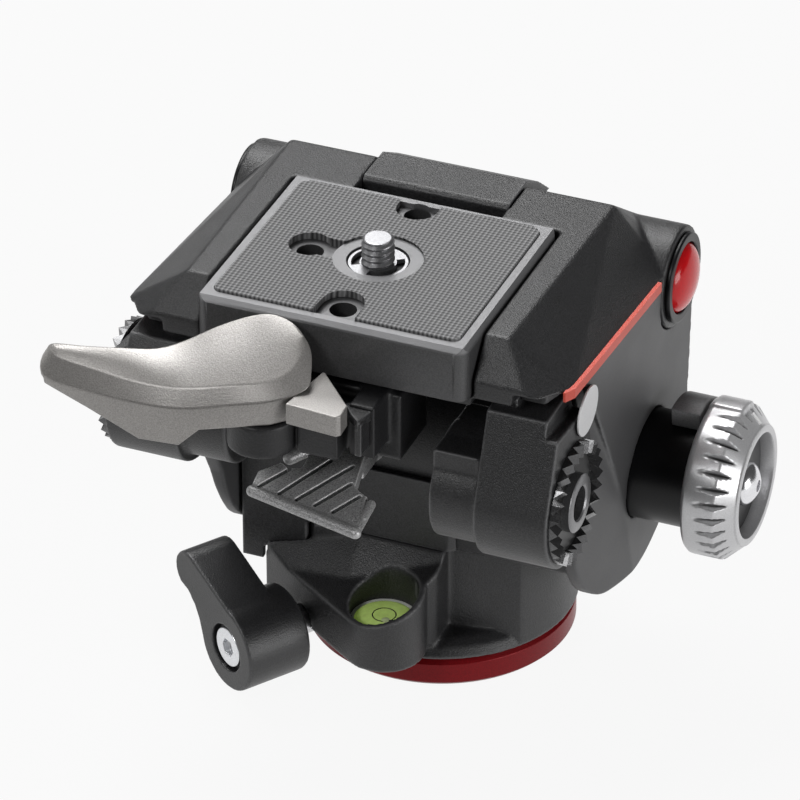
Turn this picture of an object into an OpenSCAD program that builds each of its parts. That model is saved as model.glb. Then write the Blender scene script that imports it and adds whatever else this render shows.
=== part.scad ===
// Fluid video head: a pan base, a tilting top with a quick-release camera plate, and its locks.
// Millimetres, +Z up. +X runs along the tilt axis to the drag selector, -Y faces the operator.
// The origin is on the pan axis, on the underside of the base disc.

/* [Base and pan] */
// Radius of the base disc
base_r = 27; // [26:0.5:29]
// Height of the base disc
base_h = 6; // [5.5:0.1:6.2]
// Radius of the 3/8 inch tripod thread
tripod_thread_r = 4.76; // [4.5:0.01:5]
// Radius of the bubble vial
vial_r = 5.9; // [5:0.1:6.2]

/* [Tilt] */
// Height of the tilt axis
tilt_z = 45.6; // [45:0.1:46]
// Radius of the tilt shaft
shaft_r = 7; // [6:0.1:7.5]
// Half width of the column between the cheeks
column_half = 34.6; // [34:0.1:34.8]
// Half width of the top at its widest edge
side_half = 44.7; // [44:0.1:46]
// Height of the flat top
crown_z = 99; // [98.6:0.1:99.4]
// Height of the camera plate's face
top_z = 99.9; // [99.5:0.1:100.4]

/* [Camera plate] */
// Width of the camera plate across the tilt axis
plate_w = 52.5; // [50:0.5:53]
// Depth of the camera plate
plate_d = 46.4; // [44:0.2:47]
// Place of the camera screw, from the pan axis
plate_y = -32.9; // [-33.5:0.1:-32.5]
// Radius of the 1/4 inch camera screw
camera_thread_r = 3.175; // [3:0.005:3.2]

/* [Knobs and handle mounts] */
// Radius of the drag selector
selector_r = 15.4; // [14.5:0.1:16]
// Number of grip notches round the selector
selector_notches = 30; // [24:2:36]
// Radius of the toothed handle mounts
rosette_r = 12; // [11:0.1:12.5]
// Number of teeth on a handle mount
rosette_teeth = 26; // [20:2:40]
// Length of a lock lever from its axis to its tip
lock_reach = 17.5; // [15:0.5:18.5]

/* [Hidden] */
$fn = 96;
blend_fn = 32;
// Clearance between pieces of one body
fit = 0.02;
// Running clearance of a shaft in its bore
run = 0.05;
// Overlap that makes a cut go right through
cut = 1;

insert_r = 6.5;
insert_top = 12.4;
screw_ring_r = 11.5;
screw_r = 1.5;
screw_head_r = 3;
drum_r = 15;
drum_top = 14.5;
spindle_r = 8;
spindle_top = 27;
seal_groove = [20.4, 23];
seal_groove_d = 1.4;
drag_recess = [20, 7.5];
pan_bush_r = 11;
pan_bush_top = 18;
nut_recess_r = 14;
nut_z = 21.9;
nut_h = 3.6;
housing_r = base_r + 0.5;
housing_z = 6.5;
housing_top = 28;
flange_top = 10;
lobe_z = 9.5;
lobe_top = 19.3;
lobe_r = 8.2;
wing_slope = 19.5;
wing_left = -19.8;
wing_right = 8.6;
ramp_back = -8;
ramp_mid = -9;
bubble_y = -30.2;
pocket_r = vial_r + 0.9;
pocket_z = 13;
vial_z = 14.1;
cup_top = 17;
column_half_d = 18.5;
column_cover_w = 10.6;
cover_thick = 1.5;
cover_front = -column_half_d - cover_thick;
skirt_z = 17;
tab_edge = -29.9;
bolt_x = base_r - 10;
bolt_y = 12.5;
column_bolts = [[bolt_x, bolt_y], [-bolt_x, bolt_y], [bolt_x, -bolt_y], [-bolt_x, -bolt_y]];
bolt_r = 2;
bolt_head_r = 3;
bolt_seat_z = 12;
bolt_top = 33.5;

lock_z = 10.2;
lock_turn = 236;
lock_tip_turn = 144;
lock_hub_r = 9;
lock_face = 51;
lock_back = 37;
lock_cap_r = 4.1;
lock_cap_sink = 2;
lock_shoe_h = 5;
stem_r = 3;
stem_thread_r = 1.6;

fold_front = [-50, 90.3];
fold_rear = [0, 86.5];
fold_slope = atan2(fold_rear[1] - fold_front[1], fold_rear[0] - fold_front[0]);
stripe_h = 1.2;
stripe_w = 2.5;
cheek_in = column_half + 0.6;
cheek_lean = 3;
cheek_lean_z = 82;
cheek_screw_places = [[-30.5, 80.5], [-8, 78]];
cheek_screw_r = 1.2;
cheek_screw_end = cheek_in + 4.3;
drag_bore_r = 14;
drag_bore_end = -22;
left_bore_r = 11;
bush_len = 9.5;
plates_end = 8;
shaft_half = cheek_in + 8.3;
stem_hole_r = stem_r + 0.4;
stem_hole_depth = 7.5;
wall_in = cheek_in - 4.7;
boss_y = 10.8;
boss_z = 81.9;
boss_r = 10.2;
bezel_r = 9;
rear_cover_half = 15;
dome_r = 7;
cheek_lobe_r = 27.4;
collar_r = 11;
collar_in = cheek_in + 3.8;
selector_back = side_half + 9.9;
selector_face = selector_back + 10.8;
selector_recess_r = 10.4;
selector_floor = 5.4;
tilt_lock_back = max(shaft_half + 3.5, side_half + 2.3);
tilt_lock_depth = 14;
front_under = 88;

plate_h = 11.4;
plate_bottom = top_z - plate_h;
bed_floor = plate_bottom - 0.1;
bed_under = bed_floor - 2.2;
plate_rim = 0.75;
plate_corner = 2.6;
pad_corner = 2;
plate_bevel = 1.3;
bed_gap = 0.35;
pad_inset = 1.5;
pad_depth = 1.2;
plate_front = plate_y - plate_d / 2;
plate_back = plate_y + plate_d / 2;
boss_disc_r = 8.7;
screw_flange_r = 5.7;
plate_holes = [[-13.8, plate_y], [0, plate_back - 3.6], [0, plate_front + 6.2]];
plate_hole_r = 2.6;

hub_y = -47.4;
hub_z = 65.8;
hub_z_left = 71.5;
hub_r = 13;
hub_in = side_half - 24.2;
hub_step = side_half - 14.7;
hub_out = side_half - 0.1;
rosette_h = 1.9;
handle_bore_r = 3.3;
nut_across = 11;
nut_pocket = 6;

lever_pivot = [-9.4, plate_front - 10.3];
lever_hub_r = 7.3;
lever_z = [plate_bottom - 3.9, plate_bottom + 10.8];
pin_r = 2.5;
lever_pin_top = plate_bottom + 3.5;
lug_z = [plate_bottom - 11, plate_bottom - 4.2];
catch_pivot = [2.5, plate_front - 8.4];
catch_z = [plate_bottom - 3.5, plate_bottom + 2.5];
small_pin_r = 1.6;
catch_pin_top = plate_bottom + 1.5;
thumb_pivot = [1.5, plate_front + 10.1];
thumb_pin_top = plate_bottom - 8.7;
thumb_z = [plate_bottom - 22.7, plate_bottom - 19.5];
trigger_at = [16, -30];
trigger_r = 2.2;
trigger_h = 8.4;
trigger_boss_r = 5;

// A box given by its two opposite corners
module block(a, b) {
    translate(a)
        cube(b - a);
}

// An upright rod between two heights
module rod(r, z1, z2) {
    translate([0, 0, z1])
        cylinder(r = r, h = z2 - z1);
}

// An upright tube between two heights
module tube(outer, inner, z1, z2) {
    difference() {
        rod(outer, z1, z2);
        rod(inner, z1 - cut, z2 + cut);
    }
}

// Turns a shape drawn in the Y and Z plane so that its height runs along +X
module along_x(x, y = 0, z = 0) {
    translate([x, y, z])
        rotate([90, 0, 90])
            children();
}

// A rod along X between two places, on the tilt axis unless told otherwise
module rod_x(r, x1, x2, y = 0, z = tilt_z) {
    along_x(min(x1, x2), y, z)
        cylinder(r = r, h = abs(x2 - x1));
}

module tube_x(outer, inner, x1, x2, y = 0, z = tilt_z) {
    difference() {
        rod_x(outer, x1, x2, y, z);
        rod_x(inner, min(x1, x2) - cut, max(x1, x2) + cut, y, z);
    }
}

// Carries a shape whose height is along +Z onto the pan lock's outward axis
module on_lock_axis(distance = 0) {
    translate([0, 0, lock_z])
        rotate([0, 0, lock_turn])
            translate([distance, 0, 0])
                rotate([90, 0, 90])
                    children();
}

// The left half of the head is the right half seen in a mirror
module left() {
    mirror([1, 0, 0])
        children();
}

// Places the screws that hold the base disc under the spindle
module at_base_screws() {
    for (turn = [45 : 90 : 315])
        rotate([0, 0, turn])
            translate([screw_ring_r, 0, 0])
                children();
}

// Countersunk screw, head down, that also cuts its own hole
module base_screw(extra) {
    head_z = 0.3;
    rod(screw_r + extra, head_z, drum_top - 3 + extra);
    translate([0, 0, head_z - extra])
        cylinder(r1 = screw_head_r + extra, r2 = screw_r + extra, h = 1.8);
}

module base_disc() {
    edge = 0.9;
    color("firebrick")
        difference() {
            rotate_extrude()
                polygon([[insert_r + fit, 0], [base_r - edge, 0], [base_r, edge], [base_r, base_h - edge],
                    [base_r - edge, base_h], [insert_r + fit, base_h]]);
            at_base_screws()
                base_screw(0.1);
            at_base_screws()
                rod(screw_head_r + 0.1, -cut, 0.5);
            tube(seal_groove[1], seal_groove[0], base_h - seal_groove_d, base_h + cut);
        }
}

module thread_insert() {
    chamfer = 1;
    color("silver")
        difference() {
            union() {
                rod(insert_r, 0, insert_top - 0.4);
                rod(insert_r - chamfer, 0, insert_top);
            }
            rod(tripod_thread_r, -cut, insert_top + cut);
        }
}

module pan_spindle() {
    color("gray")
        difference() {
            union() {
                rod(drum_r, base_h + fit, drum_top);
                rod(spindle_r, drum_top - cut, spindle_top);
            }
            rod(insert_r + fit, 0, insert_top + 0.2);
            at_base_screws()
                rod(screw_r + fit, 0, drum_top - 2.9);
        }
}

module base_screws() {
    socket_r = 1.1;
    color("dimgray")
        at_base_screws()
            difference() {
                base_screw(0);
                rod(socket_r, 0, 1.2, $fn = 6);
            }
}

// Ring of round section in the groove, just clear of the housing above
module pan_seal() {
    ring_r = (housing_z - base_h + seal_groove_d - 0.4) / 2;
    color("black")
        rotate_extrude()
            translate([(seal_groove[0] + seal_groove[1]) / 2, base_h - seal_groove_d + ring_r + fit])
                circle(r = ring_r, $fn = 24);
}

module pan_drag_ring() {
    color("ivory")
        tube(drag_recess[0] - 0.5, drum_r + 1.2, base_h + fit, drag_recess[1] - 0.4);
}

module pan_ring_nut() {
    slot = 1.2;
    outer = nut_recess_r - 1.5;
    color("silver")
        difference() {
            rod(outer, nut_z + 0.3, nut_z + 0.3 + nut_h);
            rod(spindle_r + fit, nut_z - cut, spindle_top);
            for (turn = [0 : 60 : 300])
                rotate([0, 0, turn])
                    block([outer - slot, -slot, nut_z - cut], [outer + cut, slot, spindle_top]);
        }
}

// Outline of the wing and bubble lobe: the slanted front is square to the pan lock
module wing_plan() {
    facet = lobe_r - bubble_y * sin(lock_turn - 180);
    nx = cos(lock_turn);
    ny = sin(lock_turn);
    corner_run = 13.2;
    corner = [nx * facet + ny * corner_run, ny * facet - nx * corner_run];
    touch = [nx * lobe_r, bubble_y + ny * lobe_r];
    polygon([corner, touch, [lobe_r * 0.42, bubble_y - lobe_r * 0.9], [wing_right, -24], [wing_right, -8],
        [-12, -4],
        [corner[0] + 3, corner[1] + 9]]);
    translate([0, bubble_y])
        circle(r = lobe_r);
}

// Everything above the wing's sloped top, which rises from the slanted front towards the column
module above_wing() {
    facet = lobe_r - bubble_y * sin(lock_turn - 180);
    rotate([0, 0, lock_turn])
        translate([facet, 0, lobe_top])
            rotate([0, wing_slope, 0])
                block([-70, -70, 0], [20, 70, 60]);
}

// One upright slice of the ramp in front of the column: where it stands, its top and its back
module ramp_slice(x, top, back) {
    along_x(x)
        linear_extrude(0.2)
            polygon([[cover_front - 0.1 - (top - lobe_top), lobe_top], [cover_front - 0.1, top], [back, top],
                [back, lobe_z], [cover_front - 0.1 - (top - lobe_top), lobe_z]]);
}

// Ramp that lifts the sloped top to the column's cover, lower at its left end
module wing_ramp() {
    ramp_top = housing_top - 0.1;
    hull() {
        ramp_slice(wing_left - 9.4, lobe_top + 2.6, cover_front - 0.05);
        ramp_slice(wing_left - 0.2, ramp_top - 3.2, cover_front - 0.05);
    }
    hull() {
        ramp_slice(wing_left, ramp_top - 3.2, ramp_back);
        ramp_slice(ramp_mid, ramp_top, ramp_back);
        ramp_slice(wing_right - 0.2, ramp_top, ramp_back);
    }
}

// The wing with the bubble's lobe
module wing() {
    difference() {
        translate([0, 0, lobe_z])
            linear_extrude(housing_top - lobe_z)
                wing_plan();
        above_wing();
        block([-60, cover_front - 0.1, lobe_top], [wing_left, 20, housing_top + cut]);
        block([wing_left, ramp_back, lobe_top], [60, 20, housing_top + cut]);
    }
    intersection() {
        wing_ramp();
        translate([0, 0, lobe_z])
            linear_extrude(housing_top)
                wing_plan();
    }
}

module pan_housing() {
    flange_round = 3;
    color("dimgray")
        difference() {
            union() {
                rotate_extrude()
                    polygon([[0, housing_z], [housing_r, housing_z], [housing_r, flange_top - flange_round],
                        [housing_r - 0.35 * flange_round, flange_top - 0.35 * flange_round],
                        [housing_r - flange_round, flange_top], [0, flange_top]]);
                difference() {
                    rod(housing_r, housing_z, housing_top);
                    translate([0, 0, flange_top])
                        linear_extrude(30)
                            polygon([[-60, -60], [-60, cover_front], [wing_right, cover_front],
                                [wing_right, -18], [25.2, -14.8], [45, -10.5], [45, -60]]);
                    difference() {
                        block([-60, -60, housing_z - cut], [60, 60, flange_top + fit]);
                        linear_extrude(60)
                            polygon([[wing_right, -18], [25.2, -14.8], [45, -10.5], [45, 60], [-60, 60],
                                [-60, cover_front], [wing_right, cover_front]]);
                    }
                }
                wing();
            }
            rod(drag_recess[0], housing_z - cut, drag_recess[1]);
            rod(drum_r + 0.4, housing_z - cut, drum_top + 0.3);
            rod(pan_bush_r, drum_top, nut_z + cut);
            rod(nut_recess_r, nut_z, housing_top + cut);
            translate([0, bubble_y, 0])
                rod(pocket_r, pocket_z, housing_top + cut);
            on_lock_axis(drum_r)
                cylinder(r = stem_r + run, h = 30);
            for (p = column_bolts)
                translate(p) {
                    rod(bolt_r + 0.1, housing_z, housing_top + cut);
                    rod(bolt_head_r + 0.2, housing_z, bolt_seat_z);
                }
        }
}

module column_screws() {
    head_h = 3;
    color("silver")
        for (p = column_bolts)
            translate(p)
                difference() {
                    union() {
                        rod(bolt_r, bolt_seat_z - cut, bolt_top);
                        rod(bolt_head_r, bolt_seat_z - head_h, bolt_seat_z - fit);
                    }
                    rod(bolt_head_r / 2, bolt_seat_z - head_h - cut, bolt_seat_z - head_h / 2, $fn = 6);
                }
}

module pan_bush() {
    color("peru")
        tube(pan_bush_r - fit, spindle_r + run, drum_top + 0.4, pan_bush_top);
}

module pan_cartridge() {
    color("darkslategray")
        difference() {
            tube(pan_bush_r - fit, spindle_r + run, pan_bush_top + fit, nut_z);
            tube(pan_bush_r - 0.6, spindle_r + 1.4, pan_bush_top + 1, nut_z + cut);
        }
}

module tilt_column() {
    skirt_front = -column_half_d;
    skirt_back = 10;
    skirt_wall = 2.2;
    color("dimgray")
        difference() {
            union() {
                block([-column_half, -column_half_d, housing_top + fit],
                    [column_half, column_half_d, tilt_z]);
                difference() {
                    rod_x(column_half_d, -column_half, column_half);
                    block([-60, -30, 0], [60, 30, housing_top + fit]);
                }
                difference() {
                    union() {
                        block([-column_half, skirt_front, skirt_z],
                            [-column_half + skirt_wall, skirt_back, housing_top + 0.5]);
                        block([-column_half, skirt_front, lobe_top + 0.6],
                            [-20, skirt_back, housing_top + 0.5]);
                    }
                    rod(housing_r + 0.2, 0, housing_top + fit);
                }
            }
            rod_x(drag_bore_r, drag_bore_end, column_half + cut);
            rod_x(left_bore_r, -column_half - cut, drag_bore_end + cut);
            for (p = column_bolts)
                translate(p)
                    rod(bolt_r + fit, 20, bolt_top + 0.2);
        }
}

// Flat cover on the operator's side of the column, with a tab down to the left of the wing
module column_cover() {
    chamfer = 0.8;
    left_edge = -column_half + 0.2;
    color("dimgray")
        difference() {
            translate([0, -column_half_d - fit, 0])
                rotate([90, 0, 0])
                    linear_extrude(cover_thick - fit)
                        polygon([[left_edge, skirt_z + 0.2], [tab_edge, skirt_z + 0.2],
                            [tab_edge, lobe_top + 0.9], [wing_left - 0.7, lobe_top + 0.9],
                            [wing_left - 0.7, housing_top + fit], [column_cover_w, housing_top + fit],
                            [column_cover_w, tilt_z - 2], [left_edge, tilt_z - 2]]);
            translate([column_cover_w, cover_front, 0])
                rotate([0, 0, 45])
                    block([-chamfer, -chamfer, 0], [chamfer, chamfer, 80]);
        }
}

module bubble_cup() {
    color("whitesmoke")
        translate([0, bubble_y, 0])
            difference() {
                rod(pocket_r - 0.1, pocket_z + fit, cup_top);
                rod(vial_r + fit, vial_z - 0.1, cup_top + cut);
            }
}

module bubble_vial() {
    color("greenyellow")
        translate([0, bubble_y, 0])
            rotate_extrude()
                polygon([[0, vial_z], [vial_r, vial_z], [vial_r, cup_top], [vial_r - 0.9, cup_top + 0.6],
                    [0, cup_top + 0.9]]);
}

module pan_lock_shoe() {
    color("peru")
        on_lock_axis(drum_r + 0.35)
            cylinder(r = stem_r - 0.1, h = lock_shoe_h);
}

// Teardrop lock lever: a round hub that narrows into a flat tip, with its axis along +Z.
// The face with the screw is on top, and the tip leans up along +X.
module lock_lever(depth) {
    tip_depth = 7;
    difference() {
        union() {
            cylinder(r1 = lock_hub_r - 1.2, r2 = lock_hub_r, h = depth * 0.4);
            hull($fn = blend_fn) {
                translate([0, 0, depth * 0.38])
                    cylinder(r = lock_hub_r, h = depth * 0.62 - 1);
                cylinder(r = lock_hub_r - 1.2, h = depth);
                translate([lock_reach, 0, depth - tip_depth])
                    cylinder(r = 4, h = tip_depth - 0.6);
                translate([lock_reach, 0, depth - tip_depth])
                    cylinder(r = 3.4, h = tip_depth);
            }
        }
        translate([0, 0, depth - lock_cap_sink])
            cylinder(r = lock_cap_r + 0.9, h = lock_cap_sink + cut);
        translate([0, 0, -cut])
            cylinder(r = stem_r, h = depth + 2 * cut);
    }
}

// Socket-head screw that closes the front of a lock lever
module lock_cap_screw() {
    head_h = 1.6;
    shank = 3;
    difference() {
        union() {
            cylinder(r = lock_cap_r, h = head_h);
            translate([0, 0, -shank])
                cylinder(r = stem_thread_r, h = shank + 0.5);
        }
        translate([0, 0, 0.3])
            cylinder(r = 1.9, h = head_h, $fn = 6);
    }
}

module lock_stem(length) {
    thread = 3.5;
    difference() {
        cylinder(r = stem_r - fit, h = length);
        translate([0, 0, length - thread])
            cylinder(r = stem_thread_r + fit, h = thread + cut);
    }
}

module pan_lock_knob() {
    color("dimgray")
        on_lock_axis(lock_back)
            rotate([0, 0, lock_tip_turn])
                lock_lever(lock_face - lock_back);
}

module pan_lock_stem() {
    start = drum_r + lock_shoe_h + 0.6;
    color("silver")
        on_lock_axis(start)
            lock_stem(lock_face - lock_cap_sink - start);
}

module pan_lock_screw() {
    color("silver")
        on_lock_axis(lock_face - lock_cap_sink + fit)
            lock_cap_screw();
}

module tilt_bushes() {
    end = column_half - 0.2;
    color("peru") {
        tube_x(drag_bore_r - fit, shaft_r + run, end - bush_len, end);
        tube_x(left_bore_r - fit, shaft_r + run, -end, bush_len - end);
    }
}

// Drag cartridge: a drum of plates in viscous grease, with a groove between each two
module tilt_cartridge() {
    color("darkslategray")
        difference() {
            tube_x(drag_bore_r - fit, shaft_r + run, drag_bore_end + 2, plates_end);
            for (x = [drag_bore_end + 6 : 4 : plates_end - 4])
                tube_x(drag_bore_r + cut, drag_bore_r - 1, x - 0.6, x + 0.6);
        }
}

module balance_spring() {
    color("slategray")
        tube_x(drag_bore_r - 1, shaft_r + 2, plates_end + fit, column_half - bush_len - 0.3);
}

module tilt_shaft() {
    color("silver")
        difference() {
            rod_x(shaft_r, -shaft_half, shaft_half);
            rod_x(stem_hole_r, shaft_half - stem_hole_depth, shaft_half + cut);
            rod_x(stem_hole_r, -shaft_half - cut, stem_hole_depth - shaft_half);
        }
}

// Everything below the slanted edge that parts the top from the cheeks
module below_fold(inner, outer) {
    translate([0, fold_front[0], fold_front[1]])
        rotate([fold_slope, 0, 0])
            block([inner, -20, -60], [outer, 90, 0]);
}

// One cross-section of the top, as a thin slice for the blend
module crown_slice(y, half, shoulder, flat_half, flat_z, bottom) {
    translate([0, y + 0.2, 0])
        rotate([90, 0, 0])
            linear_extrude(0.4)
                polygon([[-half, bottom], [half, bottom], [half, shoulder], [flat_half, flat_z],
                    [-flat_half, flat_z], [-half, shoulder]]);
}

module crown() {
    hull() {
        crown_slice(-53.8, side_half - 3.2, 89.6, side_half - 7.2, crown_z - 7, bed_under - 10.2);
        crown_slice(-48, side_half, 90.2, side_half - 12.5, crown_z, bed_under - 10.2);
        crown_slice(4, side_half, 86.3, side_half - 11.3, crown_z, bed_under - 12.2);
        crown_slice(19.3, side_half - 4.7, 82.5, side_half - 11.7, crown_z - 10.5, bed_under - 14.2);
    }
}

module top_casting() {
    color([0.2, 0.2, 0.21])
        difference() {
            union() {
                difference() {
                    crown();
                    below_fold(cheek_in - 0.1, 60);
                    left()
                        below_fold(cheek_in - 0.1, 60);
                    block([-wall_in, -70, 0], [wall_in, 15.5, bed_under]);
                    for (side = [0, 1])
                        mirror([side, 0, 0]) {
                            block([hub_step - 3, -70, 0], [60, -41, front_under]);
                            block([hub_step - 3, -70, 0], [60, hub_y + hub_r + 0.3, front_under - 3.5]);
                        }
                }
                rod_x(boss_r, wall_in + 1, side_half, boss_y, boss_z);
                rod_x(boss_r, -side_half, -wall_in - 1, boss_y, boss_z);
                translate(trigger_at)
                    rod(trigger_boss_r, bed_floor - trigger_h - 2, bed_under + 0.5);
            }
            block([-plate_w / 2 - plate_rim - bed_gap, -80, bed_floor],
                [plate_w / 2 + plate_rim + bed_gap, plate_back + plate_rim + bed_gap, crown_z + 20]);
            block([-rear_cover_half, plate_back, crown_z - 5.5], [rear_cover_half, -4.4, crown_z + 20]);
            block([-rear_cover_half - 0.1, -4.5, crown_z - 8], [rear_cover_half + 0.1, 40, crown_z + 20]);
            translate(trigger_at)
                rod(trigger_r, bed_floor - 20, bed_floor + cut);
            for (x = [-1, 1])
                for (p = cheek_screw_places)
                    rod_x(cheek_screw_r + 0.3, x * 20, x * 60, p[0], p[1]);
        }
}

// Side cover: a round lobe about the tilt axis that widens up to the slanted edge.
// Its outer face leans in a little, a flat facet cuts the lower front, and the front edge clears
// the handle mount whose hub is at height z.
module cheek(z) {
    facet_from_axis = 11.5;
    facet_turn = -58;
    facet_slope = 18;
    hub_clear = hub_y + hub_r + 0.5;
    thick = side_half - cheek_in;
    rim_h = 3.2;
    difference() {
        union() {
            along_x(cheek_in, 0, tilt_z)
                rotate_extrude()
                    polygon([[0, 0], [cheek_lobe_r, 0], [cheek_lobe_r, rim_h],
                        [cheek_lobe_r + rim_h - thick, thick], [0, thick]]);
            along_x(cheek_in)
                linear_extrude(thick)
                    polygon([[-26.8, 40], [-49.5, 84], [-49.5, 92], [18.6, 92], [21, 66], [22.5, 52],
                        [0, 30]]);
        }
        translate([side_half, 0, cheek_lean_z])
            rotate([0, cheek_lean, 0])
                block([0, -80, -100], [40, 80, 60]);
        translate([side_half - (cheek_lean_z - tilt_z) * tan(cheek_lean), 0, tilt_z])
            rotate([facet_turn, 0, 0])
                translate([0, 0, -facet_from_axis])
                    rotate([0, facet_slope, 0])
                        block([0, -80, -60], [40, 80, 0]);
        translate([0, fold_front[0], fold_front[1] - stripe_h - 0.1])
            rotate([fold_slope, 0, 0])
                block([0, -40, 0], [80, 120, 40]);
        rod_x(boss_r + 0.2, 0, 80, boss_y, boss_z);
        block([0, boss_y, boss_z], [80, 40, 120]);
        rod_x(shaft_r + fit, 0, 80);
        rod_x(collar_r + 0.1, collar_in, 80);
        along_x(0)
            linear_extrude(80)
                polygon([[-70, 0], [-70, 92], [-54, 87], [-41, 87], [hub_clear, z + 6.5], [hub_clear, 0]]);
        for (p = cheek_screw_places)
            rod_x(cheek_screw_r + 0.05, wall_in, cheek_screw_end + 0.5, p[0], p[1]);
    }
}

module cheek_right() {
    color([0.27, 0.27, 0.28])
        cheek(hub_z);
}

module cheek_left() {
    color([0.27, 0.27, 0.28])
        left()
            cheek(hub_z_left);
}

module side_stripe() {
    translate([0, fold_front[0], fold_front[1] - stripe_h - 0.05])
        rotate([fold_slope, 0, 0])
            block([side_half - stripe_w, 0.8, 0], [side_half, 49.8, stripe_h]);
}

module side_stripes() {
    color("tomato") {
        side_stripe();
        left()
            side_stripe();
    }
}

module rear_cover() {
    color([0.22, 0.22, 0.23])
        along_x(-rear_cover_half)
            linear_extrude(2 * rear_cover_half)
                polygon([[-4.3, crown_z - 7.9], [-4.3, crown_z - 0.4], [-3.4, crown_z + 0.3],
                    [6, crown_z + 0.3], [12.5, crown_z - 3.4], [18.2, crown_z - 7.9]]);
}

module rear_bezel() {
    color("black")
        tube_x(bezel_r, dome_r + 0.1, side_half + fit, side_half + 1.1, boss_y, boss_z);
}

module red_dome() {
    rise = 2.2;
    ball_r = (dome_r * dome_r + rise * rise) / (2 * rise);
    color("red")
        intersection() {
            rod_x(dome_r, side_half + fit, side_half + 10, boss_y, boss_z);
            translate([side_half + rise - ball_r, boss_y, boss_z])
                sphere(r = ball_r);
        }
}

module rear_cap() {
    color("black")
        rod_x(bezel_r, -side_half - 1.1, -side_half - fit, boss_y, boss_z);
}

module cheek_badge() {
    badge_y = -41;
    badge_z = 82.2;
    color("white")
        translate([side_half - (cheek_lean_z - badge_z) * tan(cheek_lean) + 0.25, badge_y, badge_z])
            rotate([0, cheek_lean, 0])
                rotate([90, 0, 90])
                    cylinder(r = 5, h = 0.5);
}

// Front arm that carries a handle mount below the top, with its hub at height z
module bracket(z) {
    neck = [-51, -42.5];
    neck_w = 5;
    difference() {
        union() {
            along_x(hub_step)
                linear_extrude(hub_out - hub_step)
                    polygon([[-53.6, 86.2], [hub_y - 12.4, z + 4], [hub_y, z - 5], [hub_y + 12.4, z + 4],
                        [-41, 84], [-42, 86.2]]);
            along_x(hub_step)
                linear_extrude(neck_w)
                    polygon([[neck[0], 80], [neck[0], front_under - fit], [neck[1], front_under - fit],
                        [neck[1], 80]]);
            rod_x(hub_r, hub_step, hub_out, hub_y, z);
            rod_x(hub_r - 1.6, hub_in, hub_step + 0.5, hub_y, z);
            block([hub_in, hub_y - 9, z - 2], [hub_step + 0.5, hub_y + 9, z + 11]);
        }
        translate([0, fold_front[0], fold_front[1] - stripe_h - 0.4])
            rotate([fold_slope, 0, 0])
                block([42, -40, -6], [80, 120, 40]);
        rod_x(handle_bore_r, 0, 60, hub_y, z);
        rod_x(nut_across / 2 / cos(30) + 0.1, hub_in - cut, hub_in + nut_pocket, hub_y, z, $fn = 6);
    }
}

module bracket_right() {
    color([0.2, 0.2, 0.21])
        bracket(hub_z);
}

module bracket_left() {
    color([0.2, 0.2, 0.21])
        left()
            bracket(hub_z_left);
}

// Toothed mount for a pan handle: radial teeth round a flat ring and a bore
module rosette(z) {
    face = hub_out + rosette_h;
    step = 360 / rosette_teeth;
    tooth = rosette_r * sin(step / 2);
    tooth_lift = 0.7;
    difference() {
        rod_x(rosette_r, hub_out + fit, face, hub_y, z);
        tube_x(7.6, 5.7, hub_out + 0.6, face + cut, hub_y, z);
        rod_x(6, face - 0.4, face + cut, hub_y, z);
        rod_x(handle_bore_r, hub_out - cut, face + cut, hub_y, z);
        for (i = [0 : rosette_teeth - 1])
            translate([face + tooth_lift, hub_y, z])
                rotate([i * step, 0, 0])
                    translate([0, 0, 6.5])
                        rotate([0, 0, 45])
                            block([-tooth, -tooth, 0], [tooth, tooth, 10]);
    }
}

module rosette_right() {
    color([0.15, 0.15, 0.16])
        rosette(hub_z);
}

module rosette_left() {
    color([0.15, 0.15, 0.16])
        left()
            rosette(hub_z_left);
}

// Captive nut in the inner end of a hub
module rosette_nut(z) {
    difference() {
        rod_x(nut_across / 2 / cos(30), hub_in + 0.8, hub_in + nut_pocket - fit, hub_y, z, $fn = 6);
        rod_x(handle_bore_r - 0.3, hub_in, hub_in + nut_pocket + cut, hub_y, z);
    }
}

module rosette_nuts() {
    color("silver") {
        rosette_nut(hub_z);
        left()
            rosette_nut(hub_z_left);
    }
}

module cheek_screws() {
    head_r = 2.6;
    head_h = 2.2;
    color("dimgray")
        for (side = [0, 1])
            mirror([side, 0, 0])
                for (p = cheek_screw_places) {
                    rod_x(cheek_screw_r, wall_in - cut, cheek_screw_end, p[0], p[1]);
                    rod_x(head_r, wall_in - head_h, wall_in - fit, p[0], p[1]);
                }
}

module selector_collar() {
    color([0.12, 0.12, 0.13])
        difference() {
            rod_x(collar_r, collar_in + fit, selector_back - 0.4);
            rod_x(shaft_r + fit, collar_in - cut, shaft_half + 0.1);
            rod_x(stem_r + run, collar_in, selector_back);
        }
}

// Drag selector: a notched drum with a wide bevel and a sunk face
module selector_knob() {
    depth = selector_face - selector_back;
    rim_h = 7;
    bevel = 3.6;
    edge = 1;
    notch_r = 0.9;
    color("lightgray")
        difference() {
            along_x(selector_back, 0, tilt_z)
                rotate_extrude()
                    polygon([[stem_r, 0], [selector_r - edge, 0], [selector_r, edge], [selector_r, rim_h],
                        [selector_r - bevel, depth], [selector_recess_r, depth],
                        [selector_recess_r, selector_floor], [stem_r, selector_floor]]);
            for (i = [0 : selector_notches - 1])
                translate([selector_back, 0, tilt_z])
                    rotate([i * 360 / selector_notches, 0, 0])
                        translate([0, 0, selector_r + 0.2])
                            rod_x(notch_r, edge + 0.6, rim_h + 1.6, 0, 0);
        }
}

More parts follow.
